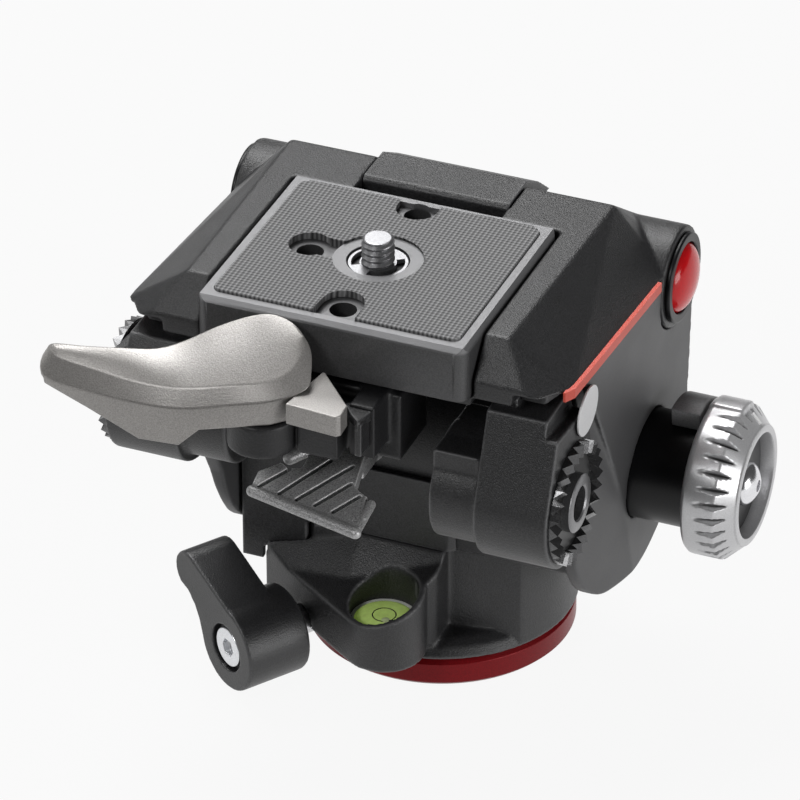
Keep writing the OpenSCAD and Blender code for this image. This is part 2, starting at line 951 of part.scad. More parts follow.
// Fixed pointer on the collar, behind the selector's rim
module selector_index() {
    half_turn = 24;
    turn = -14;
    length = 6;
    color("gray")
        intersection() {
            tube_x(selector_r - 0.2, collar_r + fit, selector_back - 0.4 - length, selector_back - 0.4);
            translate([0, 0, tilt_z])
                rotate([turn, 0, 0])
                    along_x(0)
                        linear_extrude(80)
                            polygon([[0, 0], [selector_r * 2 * tan(half_turn), selector_r * 2],
                                [-selector_r * 2 * tan(half_turn), selector_r * 2]]);
        }
}

module selector_insert() {
    color([0.1, 0.1, 0.1])
        tube_x(selector_recess_r - fit, 4.6, selector_back + selector_floor + fit,
            selector_back + selector_floor + 1.6);
}

module selector_screw() {
    dome = selector_back + selector_floor + 0.1;
    dome_ball_r = 6.2;
    dome_r_flat = 4.5;
    color("silver")
        difference() {
            union() {
                rod_x(stem_r - fit, shaft_half + 0.7, dome + cut);
                along_x(dome, 0, tilt_z)
                    rotate_extrude()
                        intersection() {
                            translate([0, -0.3])
                                circle(r = dome_ball_r);
                            square([dome_r_flat, dome_ball_r * 2]);
                        }
            }
            rod_x(1.7, dome + 3.6, dome + 2 * dome_ball_r, $fn = 6);
        }
}

module tilt_lock_boss() {
    color([0.12, 0.12, 0.13])
        difference() {
            rod_x(collar_r, -tilt_lock_back + 0.5, -collar_in - fit);
            rod_x(shaft_r + fit, -shaft_half - 0.1, cut - collar_in);
            rod_x(stem_r + run, -tilt_lock_back, -collar_in);
        }
}

// Turns a shape onto the left end of the tilt axis, pointing outwards
module on_tilt_lock_axis(x) {
    translate([-x, 0, tilt_z])
        rotate([0, -90, 0])
            children();
}

module tilt_lock_knob() {
    color("dimgray")
        on_tilt_lock_axis(tilt_lock_back)
            rotate([0, 0, 60])
                lock_lever(tilt_lock_depth);
}

module tilt_lock_stem() {
    start = shaft_half + 0.5;
    color("silver")
        on_tilt_lock_axis(start)
            lock_stem(tilt_lock_back + tilt_lock_depth - lock_cap_sink - start);
}

module tilt_lock_screw() {
    color("silver")
        on_tilt_lock_axis(tilt_lock_back + tilt_lock_depth - lock_cap_sink + fit)
            lock_cap_screw();
}

// Block under the front of the plate that carries the release lever, its catch and the thumb lever
module latch_block() {
    lug_r = lever_hub_r - 0.6;
    color([0.18, 0.18, 0.19])
        difference() {
            union() {
                block([-19.8, plate_front + 0.6, plate_bottom - 16.5],
                    [13.7, plate_front + 14.1, bed_under - fit]);
                block([lever_pivot[0] - lug_r, lever_pivot[1], lug_z[0]], [6, plate_front + 2.1, lug_z[1]]);
                translate(lever_pivot)
                    rod(lug_r, lug_z[0], lug_z[1]);
                block([-2, catch_pivot[1] - 3.2, lug_z[0]], [6, plate_front - 3.9, lug_z[1]]);
                block([6.2, plate_front - 6.4, plate_bottom - 12.5],
                    [11.3, plate_front + 2.1, plate_bottom - 1.5]);
                block([5, plate_front - 3.9, lug_z[0]], [7, plate_front + 2.1, lug_z[1]]);
            }
            translate(lever_pivot)
                rod(pin_r + fit, lug_z[0] - cut, lug_z[1] + cut);
            translate(catch_pivot)
                rod(small_pin_r + fit, lug_z[0] - cut, lug_z[1] + cut);
            translate(thumb_pivot)
                rod(small_pin_r + fit, thumb_z[0], thumb_pin_top + 0.2);
        }
}

module lever_pin() {
    color("silver")
        translate(lever_pivot)
            rod(pin_r, lug_z[0] + 0.2, lever_pin_top);
}

// A post of the lever's blend: where it stands, its radius and its two heights
module lever_post(p, r, z1, z2) {
    translate(p)
        rod(r, z1, z2);
}

// Release lever: a thick hub that slopes to the operator and a flat arm with a finger flange
module release_lever() {
    foot = lever_z[0];
    crest = lever_z[1];
    flare_z = foot + 7.2;
    brow_z = foot + 8.4;
    brow = [-14, plate_front - 15.5];
    heel = [-27, plate_front - 11.4];
    flange = [-26, plate_front - 18.2];
    tip = [-50, plate_front - 14.4];
    shoulder = [-14.6, plate_front - 4.9];
    color([0.45, 0.42, 0.39])
        difference() {
            union() {
                hull($fn = blend_fn) {
                    for (p = [shoulder, shoulder + [2.2, 1.7], shoulder + [6, 1.7], shoulder + [9.2, -0.4]])
                        lever_post(p, 1.3, flare_z, crest);
                    lever_post(lever_pivot + [1.5, 0.5], lever_hub_r + 0.3, flare_z, flare_z + 1);
                    lever_post(brow + [6.5, 1.2], 1.5, flare_z, brow_z);
                    lever_post(brow, 1.5, flare_z - 2, brow_z);
                }
                hull($fn = blend_fn) {
                    lever_post(shoulder, 1.3, foot + 2, crest);
                    lever_post(brow, 1.5, foot, brow_z);
                    lever_post(lever_pivot + [-2, 0], lever_hub_r - 1.5, foot, flare_z);
                    lever_post(heel, 2, foot, foot + 8.8);
                    lever_post(flange, 2, foot, foot + 2.6);
                    lever_post(flange + [0, 1.8], 2, foot, foot + 5.6);
                }
                hull($fn = blend_fn) {
                    lever_post(heel, 2, foot - 4.6, foot + 8.8);
                    lever_post(flange, 2, foot - 6.4, foot + 2.6);
                    lever_post(flange + [0, 1.8], 2, foot - 6.4, foot + 5.6);
                    lever_post(tip, 1.7, foot, foot + 7.2);
                    lever_post(tip + [0.5, -3], 1.7, foot - 1.4, foot + 3.2);
                }
                hull($fn = blend_fn) {
                    lever_post(heel, 2, foot - 4.6, foot + 1);
                    lever_post(flange, 2, foot - 6.4, foot + 1);
                    lever_post(heel + [6, 0], 1, foot, foot + 1);
                    lever_post(flange + [6, 0], 1, foot, foot + 1);
                }
                translate(lever_pivot)
                    rod(lever_hub_r, foot, flare_z);
            }
            translate(lever_pivot)
                rod(pin_r + run, foot - 20, lever_pin_top + 0.2);
        }
}

module safety_catch() {
    color([0.45, 0.42, 0.39])
        difference() {
            translate([0, 0, catch_z[0]])
                linear_extrude(catch_z[1] - catch_z[0])
                    translate([0, plate_front])
                        polygon([[-0.1, -3.7], [0.5, -3.7], [8.7, -12.9], [8.9, -16.5], [8.2, -17.3],
                            [-2.1, -16.5]]);
            translate(catch_pivot)
                rod(small_pin_r + run, catch_z[0] - cut, catch_pin_top + 0.2);
        }
}

module catch_pin() {
    color("silver")
        translate(catch_pivot)
            rod(small_pin_r, lug_z[0] + 0.2, catch_pin_top);
}

// Ribbed thumb lever that swings under the plate about an upright pin. Its tab is drawn from the
// left end of its front edge, with x along that edge, and slopes up to the pin.
module thumb_lever() {
    tab_corner = [-12.1, plate_front - 9.4];
    tab_turn = -15.7;
    tab_slope = 14;
    tab_h = 3;
    tab_drop = 2.8;
    nub_r = 1.2;
    arm_w = 9;
    rib_w = 0.8;
    rib_turn = 40;
    ribs = [[1.4, 1.2, 5], [5, 1.2, 10], [9, 1.2, 10.5], [13.4, 1.2, 7], [18, 1.2, 6]];
    color([0.24, 0.24, 0.25])
        difference() {
            union() {
                translate([tab_corner[0], tab_corner[1], thumb_z[0] - tab_drop])
                    rotate([0, 0, tab_turn])
                        rotate([tab_slope, 0, 0]) {
                            linear_extrude(tab_h)
                                polygon([[0, 0], [0, 6.8], [4.9, 11.8], [11.6, 15.6], [16.2, 7.5],
                                    [21.4, 10.4], [26.3, 0]]);
                            translate([3.4, 9.4, 0])
                                cylinder(r = nub_r, h = tab_h + 1);
                            for (r = ribs)
                                translate([r[0], r[1], tab_h - 0.5])
                                    rotate([0, 0, rib_turn])
                                        block([0, 0, 0], [r[2], rib_w, 1]);
                        }
                translate([thumb_pivot[0] - arm_w / 2, thumb_pivot[1] - 9, thumb_z[0]])
                    block([0, 0, 0], [arm_w, 9, thumb_z[1] - thumb_z[0]]);
                translate(thumb_pivot)
                    rod(5, thumb_z[0], thumb_z[1]);
            }
            translate(thumb_pivot)
                rod(small_pin_r + run, thumb_z[0] - 5, thumb_z[1] + 5);
        }
}

module thumb_pin() {
    color("silver")
        translate(thumb_pivot) {
            rod(small_pin_r, thumb_z[0] - 0.4, thumb_pin_top);
            rod(3, thumb_z[0] - 1.6, thumb_z[0] - 0.2);
        }
}

// Rectangle with round corners about the camera screw
module round_rect(w, d, r) {
    translate([0, plate_y]) {
        square([w - 2 * r, d], center = true);
        square([w, d - 2 * r], center = true);
        for (x = [-1, 1])
            for (y = [-1, 1])
                translate([x * (w / 2 - r), y * (d / 2 - r)])
                    circle(r = r);
    }
}

// The plate's block: straight sides with round corners and a bevelled top edge
module plate_block() {
    w = plate_w / 2;
    intersection() {
        translate([0, 0, plate_bottom])
            linear_extrude(plate_h)
                round_rect(plate_w + 2 * plate_rim, plate_d + 2 * plate_rim, plate_corner);
        translate([0, plate_back + plate_rim, 0])
            rotate([90, 0, 0])
                linear_extrude(plate_d + 2 * plate_rim)
                    polygon([[-w - plate_rim, plate_bottom], [w + plate_rim, plate_bottom],
                        [w + plate_rim, top_z - plate_bevel], [w, top_z], [-w, top_z],
                        [-w - plate_rim, top_z - plate_bevel]]);
        along_x(-w - plate_rim)
            linear_extrude(plate_w + 2 * plate_rim)
                polygon([[plate_front - plate_rim, plate_bottom], [plate_back + plate_rim, plate_bottom],
                    [plate_back + plate_rim, top_z - plate_bevel], [plate_back, top_z], [plate_front, top_z],
                    [plate_front - plate_rim, top_z - plate_bevel]]);
    }
}

// What the rubber pad leaves open: the screw's disc, a keyhole and two edge notches
module pad_openings(extra) {
    translate([0, plate_y])
        circle(r = boss_disc_r + extra);
    translate(plate_holes[0])
        circle(r = plate_hole_r + 1.6 + extra);
    translate([plate_holes[0][0], plate_y - 3.2 - extra])
        square([-plate_holes[0][0], 6.4 + 2 * extra]);
    for (i = [1, 2])
        translate(plate_holes[i])
            circle(r = plate_hole_r + 1.6 + extra);
    translate([-plate_hole_r - 1.6 - extra, plate_holes[1][1]])
        square([2 * (plate_hole_r + 1.6 + extra), 3]);
    translate([-plate_hole_r - 1.6 - extra, plate_holes[2][1] - 5])
        square([2 * (plate_hole_r + 1.6 + extra), 5]);
}

module pad_area(extra) {
    round_rect(plate_w - 2 * pad_inset + 2 * extra, plate_d - 2 * pad_inset + 2 * extra, pad_corner + extra);
}

module camera_plate() {
    color("gray")
        difference() {
            plate_block();
            translate([0, 0, top_z - pad_depth])
                linear_extrude(3)
                    difference() {
                        pad_area(0);
                        translate([0, plate_y])
                            circle(r = boss_disc_r);
                    }
            for (p = plate_holes)
                translate(p)
                    rod(plate_hole_r, plate_bottom - cut, top_z + cut);
            translate([0, plate_y, 0]) {
                rod(camera_thread_r + 0.2, plate_bottom - cut, top_z + cut);
                rod(screw_flange_r + 0.3, top_z - 1.6, top_z + cut);
                rod(screw_flange_r + 0.3, plate_bottom - cut, plate_bottom + 3.9);
            }
        }
}

module plate_pad() {
    color([0.16, 0.16, 0.16])
        translate([0, 0, top_z - pad_depth + fit])
            linear_extrude(pad_depth - 0.3)
                difference() {
                    pad_area(-0.15);
                    pad_openings(0.1);
                }
}

module camera_screw() {
    color("silver")
        translate([0, plate_y, 0])
            difference() {
                union() {
                    rod(camera_thread_r - 0.05, plate_bottom + 1.5, top_z - 1);
                    rod(camera_thread_r, top_z - 1.2, top_z + 5);
                    rod(screw_flange_r, top_z - 1.3, top_z - 0.3);
                    rod(screw_flange_r, plate_bottom + 0.7, plate_bottom + 3.7);
                }
                block([-6, -0.7, plate_bottom - 0.5], [6, 0.7, plate_bottom + 1.9]);
                for (side = [-1, 1])
                    rotate([0, 0, side * 90 - 30])
                        block([camera_thread_r + 0.4, -1.6, top_z - 2], [screw_flange_r - 0.9, 1.6, top_z]);
            }
}

module trigger_pin() {
    color("peru")
        translate(trigger_at) {
            rod(trigger_r - run, bed_floor - trigger_h, bed_floor);
            rod(trigger_r - 0.8, bed_floor - trigger_h - 3, bed_floor - trigger_h + cut);
        }
}

base_disc();
thread_insert();
pan_spindle();
base_screws();
pan_seal();
pan_drag_ring();
pan_ring_nut();
pan_housing();
column_screws();
pan_bush();
pan_cartridge();
tilt_column();
column_cover();
bubble_cup();
bubble_vial();
pan_lock_shoe();
pan_lock_knob();
pan_lock_stem();
pan_lock_screw();
tilt_bushes();
tilt_cartridge();
balance_spring();
tilt_shaft();
top_casting();
cheek_right();
cheek_left();
side_stripes();
rear_cover();
rear_bezel();
red_dome();
rear_cap();
cheek_badge();
bracket_right();
bracket_left();
rosette_right();
rosette_left();
rosette_nuts();
cheek_screws();
selector_collar();
selector_index();
selector_knob();
selector_insert();
selector_screw();
tilt_lock_boss();
tilt_lock_knob();
tilt_lock_stem();
tilt_lock_screw();
latch_block();
release_lever();
lever_pin();
safety_catch();
catch_pin();
thumb_lever();
thumb_pin();
camera_plate();
plate_pad();
camera_screw();
trigger_pin();
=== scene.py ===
import math

import bmesh
import bpy
from mathutils import Matrix, Vector


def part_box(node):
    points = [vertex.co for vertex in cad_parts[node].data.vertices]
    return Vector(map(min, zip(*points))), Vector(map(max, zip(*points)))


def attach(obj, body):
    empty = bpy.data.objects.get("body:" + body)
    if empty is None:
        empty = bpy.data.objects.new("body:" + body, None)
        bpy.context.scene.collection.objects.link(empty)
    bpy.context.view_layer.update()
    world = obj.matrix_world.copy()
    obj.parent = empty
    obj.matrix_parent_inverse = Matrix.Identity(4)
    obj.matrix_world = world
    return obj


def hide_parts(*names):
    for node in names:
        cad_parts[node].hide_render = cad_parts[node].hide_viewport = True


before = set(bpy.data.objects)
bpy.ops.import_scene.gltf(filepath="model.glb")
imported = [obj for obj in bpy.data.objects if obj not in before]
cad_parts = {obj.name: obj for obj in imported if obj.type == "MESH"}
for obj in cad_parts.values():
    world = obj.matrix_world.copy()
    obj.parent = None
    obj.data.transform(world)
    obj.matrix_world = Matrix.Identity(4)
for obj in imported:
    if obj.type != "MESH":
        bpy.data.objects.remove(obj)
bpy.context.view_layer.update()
MM = 0.001

# The studio: a long lens from the operator's right, a sheet of pale paper that ends in front of
# the head, a dim room and five soft lamps. The paper keeps the head's shadow.
scene = bpy.context.scene
scene.view_settings.view_transform = "Standard"

lens = bpy.data.cameras.new("studio_lens")
lens.lens = 270
lens.sensor_width = 36
camera = bpy.data.objects.new("studio_camera", lens)
camera.location = (0.365678, -0.921698, 0.680008)
camera.rotation_euler = (math.radians(57.55), 0, math.radians(22.12))
scene.collection.objects.link(camera)
scene.camera = camera


def node(mat, kind, **values):
    made = mat.node_tree.nodes.new("ShaderNode" + kind)
    for socket, value in values.items():
        made.inputs[socket.replace("_", " ")].default_value = value
    return made


def link(mat, out, into):
    mat.node_tree.links.new(out, into)


def tune(mat, **values):
    """Sets plain inputs of a material's shader by name."""
    shader = mat.node_tree.nodes["Principled BSDF"]
    for socket, value in values.items():
        shader.inputs[socket.replace("_", " ")].default_value = value


def sums(mat, kind, *inputs):
    """A step of arithmetic between nodes: each input is a number or another node's output."""
    made = node(mat, "Math")
    made.operation = kind
    for socket, value in zip(made.inputs, inputs):
        if isinstance(value, (int, float)):
            socket.default_value = value
        else:
            link(mat, value, socket)
    return made.outputs[0]


def seen_white(mat, white_share):
    """Camera, mirror and glass rays see mostly white; light itself meets the plain shader."""
    rays = node(mat, "LightPath").outputs
    seen = sums(mat, "MAXIMUM", rays["Is Camera Ray"], rays["Is Glossy Ray"])
    seen = sums(mat, "MAXIMUM", seen, rays["Is Transmission Ray"])
    blend = node(mat, "MixShader")
    link(mat, sums(mat, "MULTIPLY", seen, white_share), blend.inputs[0])
    link(mat, mat.node_tree.nodes["Principled BSDF"].outputs[0], blend.inputs[1])
    link(mat, node(mat, "Emission").outputs[0], blend.inputs[2])
    link(mat, blend.outputs[0], mat.node_tree.nodes["Material Output"].inputs["Surface"])


floor_mesh = bpy.data.meshes.new("floor")
floor_mesh.from_pydata([(-4, -0.3, 0), (4, -0.3, 0), (4, 4, 0), (-4, 4, 0)], [], [(0, 1, 2, 3)])
floor = bpy.data.objects.new("floor", floor_mesh)
floor.location.z = -0.2 * MM
scene.collection.objects.link(floor)
paper = bpy.data.materials.new("studio_paper")
paper.use_nodes = True
tune(paper, Base_Color=(0.35, 0.35, 0.35, 1), Roughness=0.9)
seen_white(paper, 0.92)
floor_mesh.materials.append(paper)

room = bpy.data.worlds.new("studio_room")
room.use_nodes = True
room_light = room.node_tree.nodes["Background"]
room_light.inputs["Color"].default_value = (1, 1, 1, 1)
room_light.inputs["Strength"].default_value = 0.08
scene.world = room


def softbox(name, place, aim, size, power):
    lamp = bpy.data.lights.new(name, "AREA")
    lamp.shape = "RECTANGLE"
    lamp.size, lamp.size_y = size
    lamp.energy = power
    made = bpy.data.objects.new(name, lamp)
    made.location = place
    made.rotation_euler = (Vector(aim) - Vector(place)).to_track_quat("-Z", "Y").to_euler()
    scene.collection.objects.link(made)


head_middle = (0, -0.02, 0.06)
softbox("softbox_above", (-0.45, 0.38, 1.2), head_middle, (0.8, 0.6), 16)
softbox("softbox_front", (-0.38, -0.95, 0.8), head_middle, (0.35, 0.3), 4.5)
softbox("softbox_left", (-1.0, -0.1, 0.5), head_middle, (0.5, 0.8), 1)
softbox("softbox_right", (1.0, -0.3, 0.2), head_middle, (0.6, 0.4), 5)
softbox("softbox_back", (-0.42, 1.02, 0.78), head_middle, (0.35, 0.3), 2)


# The red base disc: an aluminium ring turned on a lathe and anodised, screwed under the drum.
# Its edges are lightly broken.
# Pointiness limits: lighter edges are partly wear and partly painted highlight; darker hollows are painted
# shade.
rub_and_glint_from, rub_and_glint_full = 0.512, 0.54
shade_from, shade_full = 0.495, 0.44


def tint(mat, skin, shown, colour):
    """Mixes a colour over a skin, as far as it is shown."""
    mix = node(mat, "Mix")
    mix.data_type = "RGBA"
    mix.inputs["B"].default_value = colour
    link(mat, shown, mix.inputs["Factor"])
    link(mat, skin, mix.inputs["A"])
    return mix.outputs["Result"]


def tint_bends(mat, skin, start, full, share, colour):
    """Shows a colour where the surface bends outward or, with full below start, inward."""
    shown = node(mat, "MapRange", From_Min=start, From_Max=full, To_Max=share)
    link(mat, node(mat, "NewGeometry").outputs["Pointiness"], shown.inputs["Value"])
    return tint(mat, skin, shown.outputs[0], colour + [1])


def finish(
    name,
    colour,
    roughness,
    metal=0.0,
    grain=0.35,
    relief=0.05,
    mottle=0.2,
    edge=0.0,
    hollow_shade=0.0,
    shine=0.5,
):
    """A paint or metal skin: fine grain in millimetres, its relief, edges lighter as wear and painted
    highlight, hollows darker as painted shade.
    """
    mat = bpy.data.materials.new(name)
    mat.use_nodes = True
    tune(mat, Metallic=metal, Specular_IOR_Level=shine)
    shader = mat.node_tree.nodes["Principled BSDF"]
    place = node(mat, "TexCoord").outputs["Object"]
    grit = node(mat, "TexNoise", Scale=1 / (grain * MM), Detail=2.0, Roughness=0.55)
    link(mat, place, grit.inputs["Vector"])
    cloud = node(mat, "TexNoise", Scale=90.0, Detail=3.0)
    link(mat, place, cloud.inputs["Vector"])
    tone = node(mat, "ValToRGB")
    low, high = tone.color_ramp.elements
    low.position, high.position = 0.3, 0.7
    low.color = [c * (1 - mottle) for c in colour] + [1]
    high.color = [c * (1 + mottle) for c in colour] + [1]
    link(mat, grit.outputs[0], tone.inputs[0])
    skin = tone.outputs[0]
    # Edges painted lighter: partly wear, partly painted highlight.
    if edge:
        rub_and_glint = [min(1, c * 3 + 0.04) for c in colour]
        skin = tint_bends(mat, skin, rub_and_glint_from, rub_and_glint_full, edge, rub_and_glint)
    # Hollows painted darker: painted shade.
    if hollow_shade:
        skin = tint_bends(mat, skin, shade_from, shade_full, hollow_shade, [c * 0.06 for c in colour])
    link(mat, skin, shader.inputs["Base Color"])
    gloss = node(mat, "MapRange", To_Min=roughness - 0.07, To_Max=roughness + 0.07)
    link(mat, cloud.outputs[0], gloss.inputs["Value"])
    link(mat, gloss.outputs[0], shader.inputs["Roughness"])
    bump = node(mat, "Bump", Strength=1.0, Distance=relief * MM)
    link(mat, grit.outputs[0], bump.inputs["Height"])
    link(mat, bump.outputs[0], shader.inputs["Normal"])
    return mat


def dress(name, mat):
    """Puts a finish on one of the solids."""
    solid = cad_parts[name]
    solid.data.materials.clear()
    solid.data.materials.append(mat)
    return solid


def ease_edges(solid, width, steps=2):
    """Small round on every sharp edge, as a deburred or moulded edge has."""
    weld = solid.modifiers.new("joined_faces", "WELD")
    weld.merge_threshold = 0.002 * MM
    flat = solid.modifiers.new("whole_faces", "DECIMATE")
    flat.decimate_type = "DISSOLVE"
    flat.angle_limit = math.radians(0.4)
    bevel = solid.modifiers.new("eased_edges", "BEVEL")
    bevel.width = width * MM
    bevel.segments = steps
    bevel.limit_method = "ANGLE"
    bevel.angle_limit = math.radians(32)
    normals = solid.modifiers.new("even_shading", "WEIGHTED_NORMAL")
    normals.weight = 60


red_anodised = finish(
    "red_anodised", (0.2, 0.003, 0.006), 0.36, metal=0.25, grain=0.25, relief=0.012, shine=0.25
)
ease_edges(dress("base_disc", red_anodised), 0.2)

# Inside the base: the steel thread insert, the cast drum with its spindle, four countersunk
# screws, the rubber seal, the slippery drag ring and the slotted nut that holds the housing.
machined_steel = finish("machined_steel", (0.55, 0.55, 0.56), 0.3, metal=1.0, grain=0.2, relief=0.01)
blued_steel = finish("blued_steel", (0.1, 0.1, 0.11), 0.38, metal=0.9, grain=0.2, relief=0.01)
raw_casting = finish("raw_casting", (0.42, 0.42, 0.43), 0.5, metal=0.9, grain=0.4, relief=0.04)
seal_rubber = finish("seal_rubber", (0.012, 0.012, 0.012), 0.7, grain=0.3, relief=0.02)
drag_nylon = finish("drag_nylon", (0.72, 0.69, 0.6), 0.5, grain=0.3, relief=0.015, mottle=0.05)
for name, mat in (
    ("thread_insert", machined_steel),
    ("base_screws", blued_steel),
    ("pan_spindle", raw_casting),
    ("pan_seal", seal_rubber),
    ("pan_drag_ring", drag_nylon),
    ("pan_ring_nut", machined_steel),
):
    dress(name, mat)

# The pan housing and the tilt column: aluminium castings in a fine textured black coat. Their edges are soft,
# as cast and coated, and are painted a little lighter, partly as wear and partly as a painted highlight.
coat = {
    "colour": (0.018, 0.018, 0.019),
    "roughness": 0.42,
    "grain": 0.28,
    "relief": 0.1,
    "mottle": 0.7,
    "shine": 0.55,
}
textured_coat = finish("textured_coat", edge=0.8, **coat)


def cast(solid, skin, passes):
    """Rounds a solid the way a casting is: every edge gets a soft fillet of about two skins."""
    shell = solid.modifiers.new("cast_skin", "REMESH")
    shell.mode = "VOXEL"
    shell.voxel_size = skin * MM
    shell.use_smooth_shade = True
    soft = solid.modifiers.new("soft_fillets", "SMOOTH")
    soft.factor = 0.5
    soft.iterations = passes


cast(dress("pan_housing", textured_coat), 0.4, 8)
cast(dress("tilt_column", textured_coat), 0.5, 8)
cast(dress("column_cover", textured_coat), 0.4, 4)

# Inside the housing and column: the bolts between them, bronze bushes, the two sealed drag
# drums, the spring that balances the camera, the brake shoe and the steel tilt shaft.
bush_bronze = finish("bush_bronze", (0.45, 0.26, 0.11), 0.38, metal=0.95, grain=0.25, relief=0.015)
drum_plastic = finish("drum_plastic", (0.05, 0.07, 0.075), 0.5, grain=0.4, relief=0.02)
for name, mat in (
    ("column_screws", machined_steel),
    ("pan_bush", bush_bronze),
    ("pan_cartridge", drum_plastic),
    ("pan_lock_shoe", bush_bronze),
    ("tilt_bushes", bush_bronze),
    ("tilt_cartridge", drum_plastic),
    ("balance_spring", blued_steel),
    ("tilt_shaft", machined_steel),
):
    dress(name, mat)

# The round level: a white cup glued into the housing's pocket, with a clear capsule of lime fluid given a
# faint painted glow, a black ring printed on its top and the air bubble at the ring's edge.
cup_white = finish("cup_white", (0.78, 0.8, 0.74), 0.4, grain=0.3, relief=0.01, mottle=0.04)
dress("bubble_cup", cup_white)
lime_fluid = finish("lime_fluid", (0.72, 0.93, 0.3), 0.12, grain=1.5, relief=0.0, mottle=0.1)
tune(lime_fluid, Coat_Weight=1.0, Coat_Roughness=0.03)
# The emission is a painted glow that brightens the fluid.
tune(lime_fluid, Emission_Color=(0.6, 0.9, 0.15, 1), Emission_Strength=0.12)


def piece(name, bm, mat, body, instead_of=None, smooth=None):
    """Makes a shown piece from a mesh, on the body that carries it."""
    bmesh.ops.recalc_face_normals(bm, faces=bm.faces)
    mesh = bpy.data.meshes.new(name)
    bm.to_mesh(mesh)
    bm.free()
    mesh.materials.append(mat)
    made = bpy.data.objects.new(name, mesh)
    scene.collection.objects.link(made)
    if smooth:
        for face in mesh.polygons:
            face.use_smooth = True
        mesh.set_sharp_from_angle(angle=math.radians(smooth))
    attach(made, body)
    if instead_of:
        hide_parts(instead_of)
    return made


def capped(bm, rings):
    """Joins rings of points into a skin with a face at each end."""
    for low, high in zip(rings, rings[1:]):
        for i in range(len(low)):
            j = (i + 1) % len(low)
            bm.faces.new((low[i], low[j], high[j], high[i]))
    bm.faces.new(list(reversed(rings[0])))
    bm.faces.new(rings[-1])


def turned(profile, steps, place):
    """A lathe-turned piece: (height, radius) pairs spun about the local Z axis."""
    bm = bmesh.new()
    turns = [2 * math.pi * i / steps for i in range(steps)]
    rings = []
    for h, r in profile:
        rings.append([bm.verts.new(Vector((r * math.cos(a), r * math.sin(a), h)) * MM) for a in turns])
    capped(bm, rings)
    bm.transform(place)
    return bm


vial_low, vial_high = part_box("bubble_vial")
vial_r = (vial_high.x - vial_low.x) / 2 / MM
vial_middle = Vector(((vial_low.x + vial_high.x) / 2, (vial_low.y + vial_high.y) / 2, vial_low.z))
vial_h = (vial_high.z - vial_low.z) / MM
vial_wall, vial_bulge, vial_tuck, vial_sweep = vial_h - 0.9, 0.85, 0.15, 0.97
vial_section = [(0, vial_r), (vial_wall, vial_r)]
for a in (0.2, 0.4, 0.6, 0.8, 1.0, 1.2, 1.4, 1.55):
    tucked = vial_r * (1 - vial_tuck * (1 - math.cos(a)))
    vial_section.append((vial_wall + vial_bulge * math.sin(a), tucked * math.cos(a * vial_sweep)))
vial_dome = turned(vial_section, 64, Matrix.Translation(vial_middle))
piece("lime_vial", vial_dome, lime_fluid, "pan", "bubble_vial", 60)

# Black for print, also used as painted shade on the floors of the rosette wells.
print_and_shade_black = finish("print_and_shade_black", (0.01, 0.01, 0.01), 0.4, grain=0.2, relief=0.0)


def quilt(bm, rows):
    """Joins rings of points into one closed skin, each ring to the next and the last to the first."""
    for i, row in enumerate(rows):
        following = rows[(i + 1) % len(rows)]
        for k in range(len(row)):
            m = (k + 1) % len(row)
            bm.faces.new((row[k], following[k], following[m], row[m]))


def tube(section, steps, place):
    """A ring with a closed section: (height, radius) pairs spun about the local Z axis."""
    bm = bmesh.new()
    rows = []
    for i in range(steps):
        a = 2 * math.pi * i / steps
        rows.append([bm.verts.new(Vector((r * math.cos(a), r * math.sin(a), h)) * MM) for h, r in section])
    quilt(bm, rows)
    bm.transform(place)
    return bm


ring_r, ring_wire, ring_sunk = 2.3, 0.13, 0.12
ring_section = [
    (ring_wire * 0.5 * math.sin(math.pi * k / 4), ring_r + ring_wire * math.cos(math.pi * k / 4))
    for k in range(8)
]
ring_place = Matrix.Translation(vial_middle + Vector((0, 0, vial_h - ring_sunk)) * MM)
piece("level_ring", tube(ring_section, 64, ring_place), print_and_shade_black, "pan", smooth=60)
air = finish("air_bubble", (0.8, 0.92, 0.5), 0.08, grain=1.5, relief=0.0, mottle=0.02)
bubble_section = [(0, 1.25), (0.15, 1.2), (0.3, 1.0), (0.42, 0.65), (0.47, 0.2)]
bubble_off = Vector((0.9, -1.5, vial_h - 0.45))
bubble = turned(bubble_section, 32, Matrix.Translation(vial_middle + bubble_off * MM))
piece("air_bubble", bubble, air, "pan", smooth=60)

# The pan lock: a teardrop lever moulded in black plastic on a steel stem, held by a bright
# socket screw in a recess. The tilt lock on the left end of the shaft is the same lever.
# Its edges are painted a little lighter, partly wear and partly painted highlight.
moulded_black = finish(
    "moulded_black",
    (0.015, 0.015, 0.016),
    0.42,
    grain=0.28,
    relief=0.07,
    mottle=0.5,
    edge=0.6,
    shine=0.6,
)
lock_depth, lock_hub_r, lock_recess, lock_bore = 14.0, 9, 5.0, 3.05
arm_from, recess_depth = 3.6, 2
tip_x, tip_r = 17.1, 4.4
pan_lock_height, pan_lock_way, pan_lock_reach, pan_lock_turn = 10.2, 236, 37, 144
tilt_axis_height, tilt_lock_reach, tilt_lock_turn = 45.6, 47, 60


def disc(radius, x=0.0, y=0.0):
    """Points round a circle."""
    turns = [math.pi * k / 24 for k in range(48)]
    return [(x + radius * math.cos(a), y + radius * math.sin(a)) for a in turns]


def arc(radius, x, start, end, step):
    """Points along part of a circle on the X axis, in degrees."""
    turns = [math.radians(a) for a in range(start, end + 1, step)]
    return [(x + radius * math.cos(a), radius * math.sin(a)) for a in turns]


def turn(degrees, axis):
    return Matrix.Rotation(math.radians(degrees), 4, axis)


def prism(bm, outline, low, high):
    """An upright block on an outline seen from above."""
    capped(bm, [[bm.verts.new(Vector((x, y, z)) * MM) for x, y in outline] for z in (low, high)])


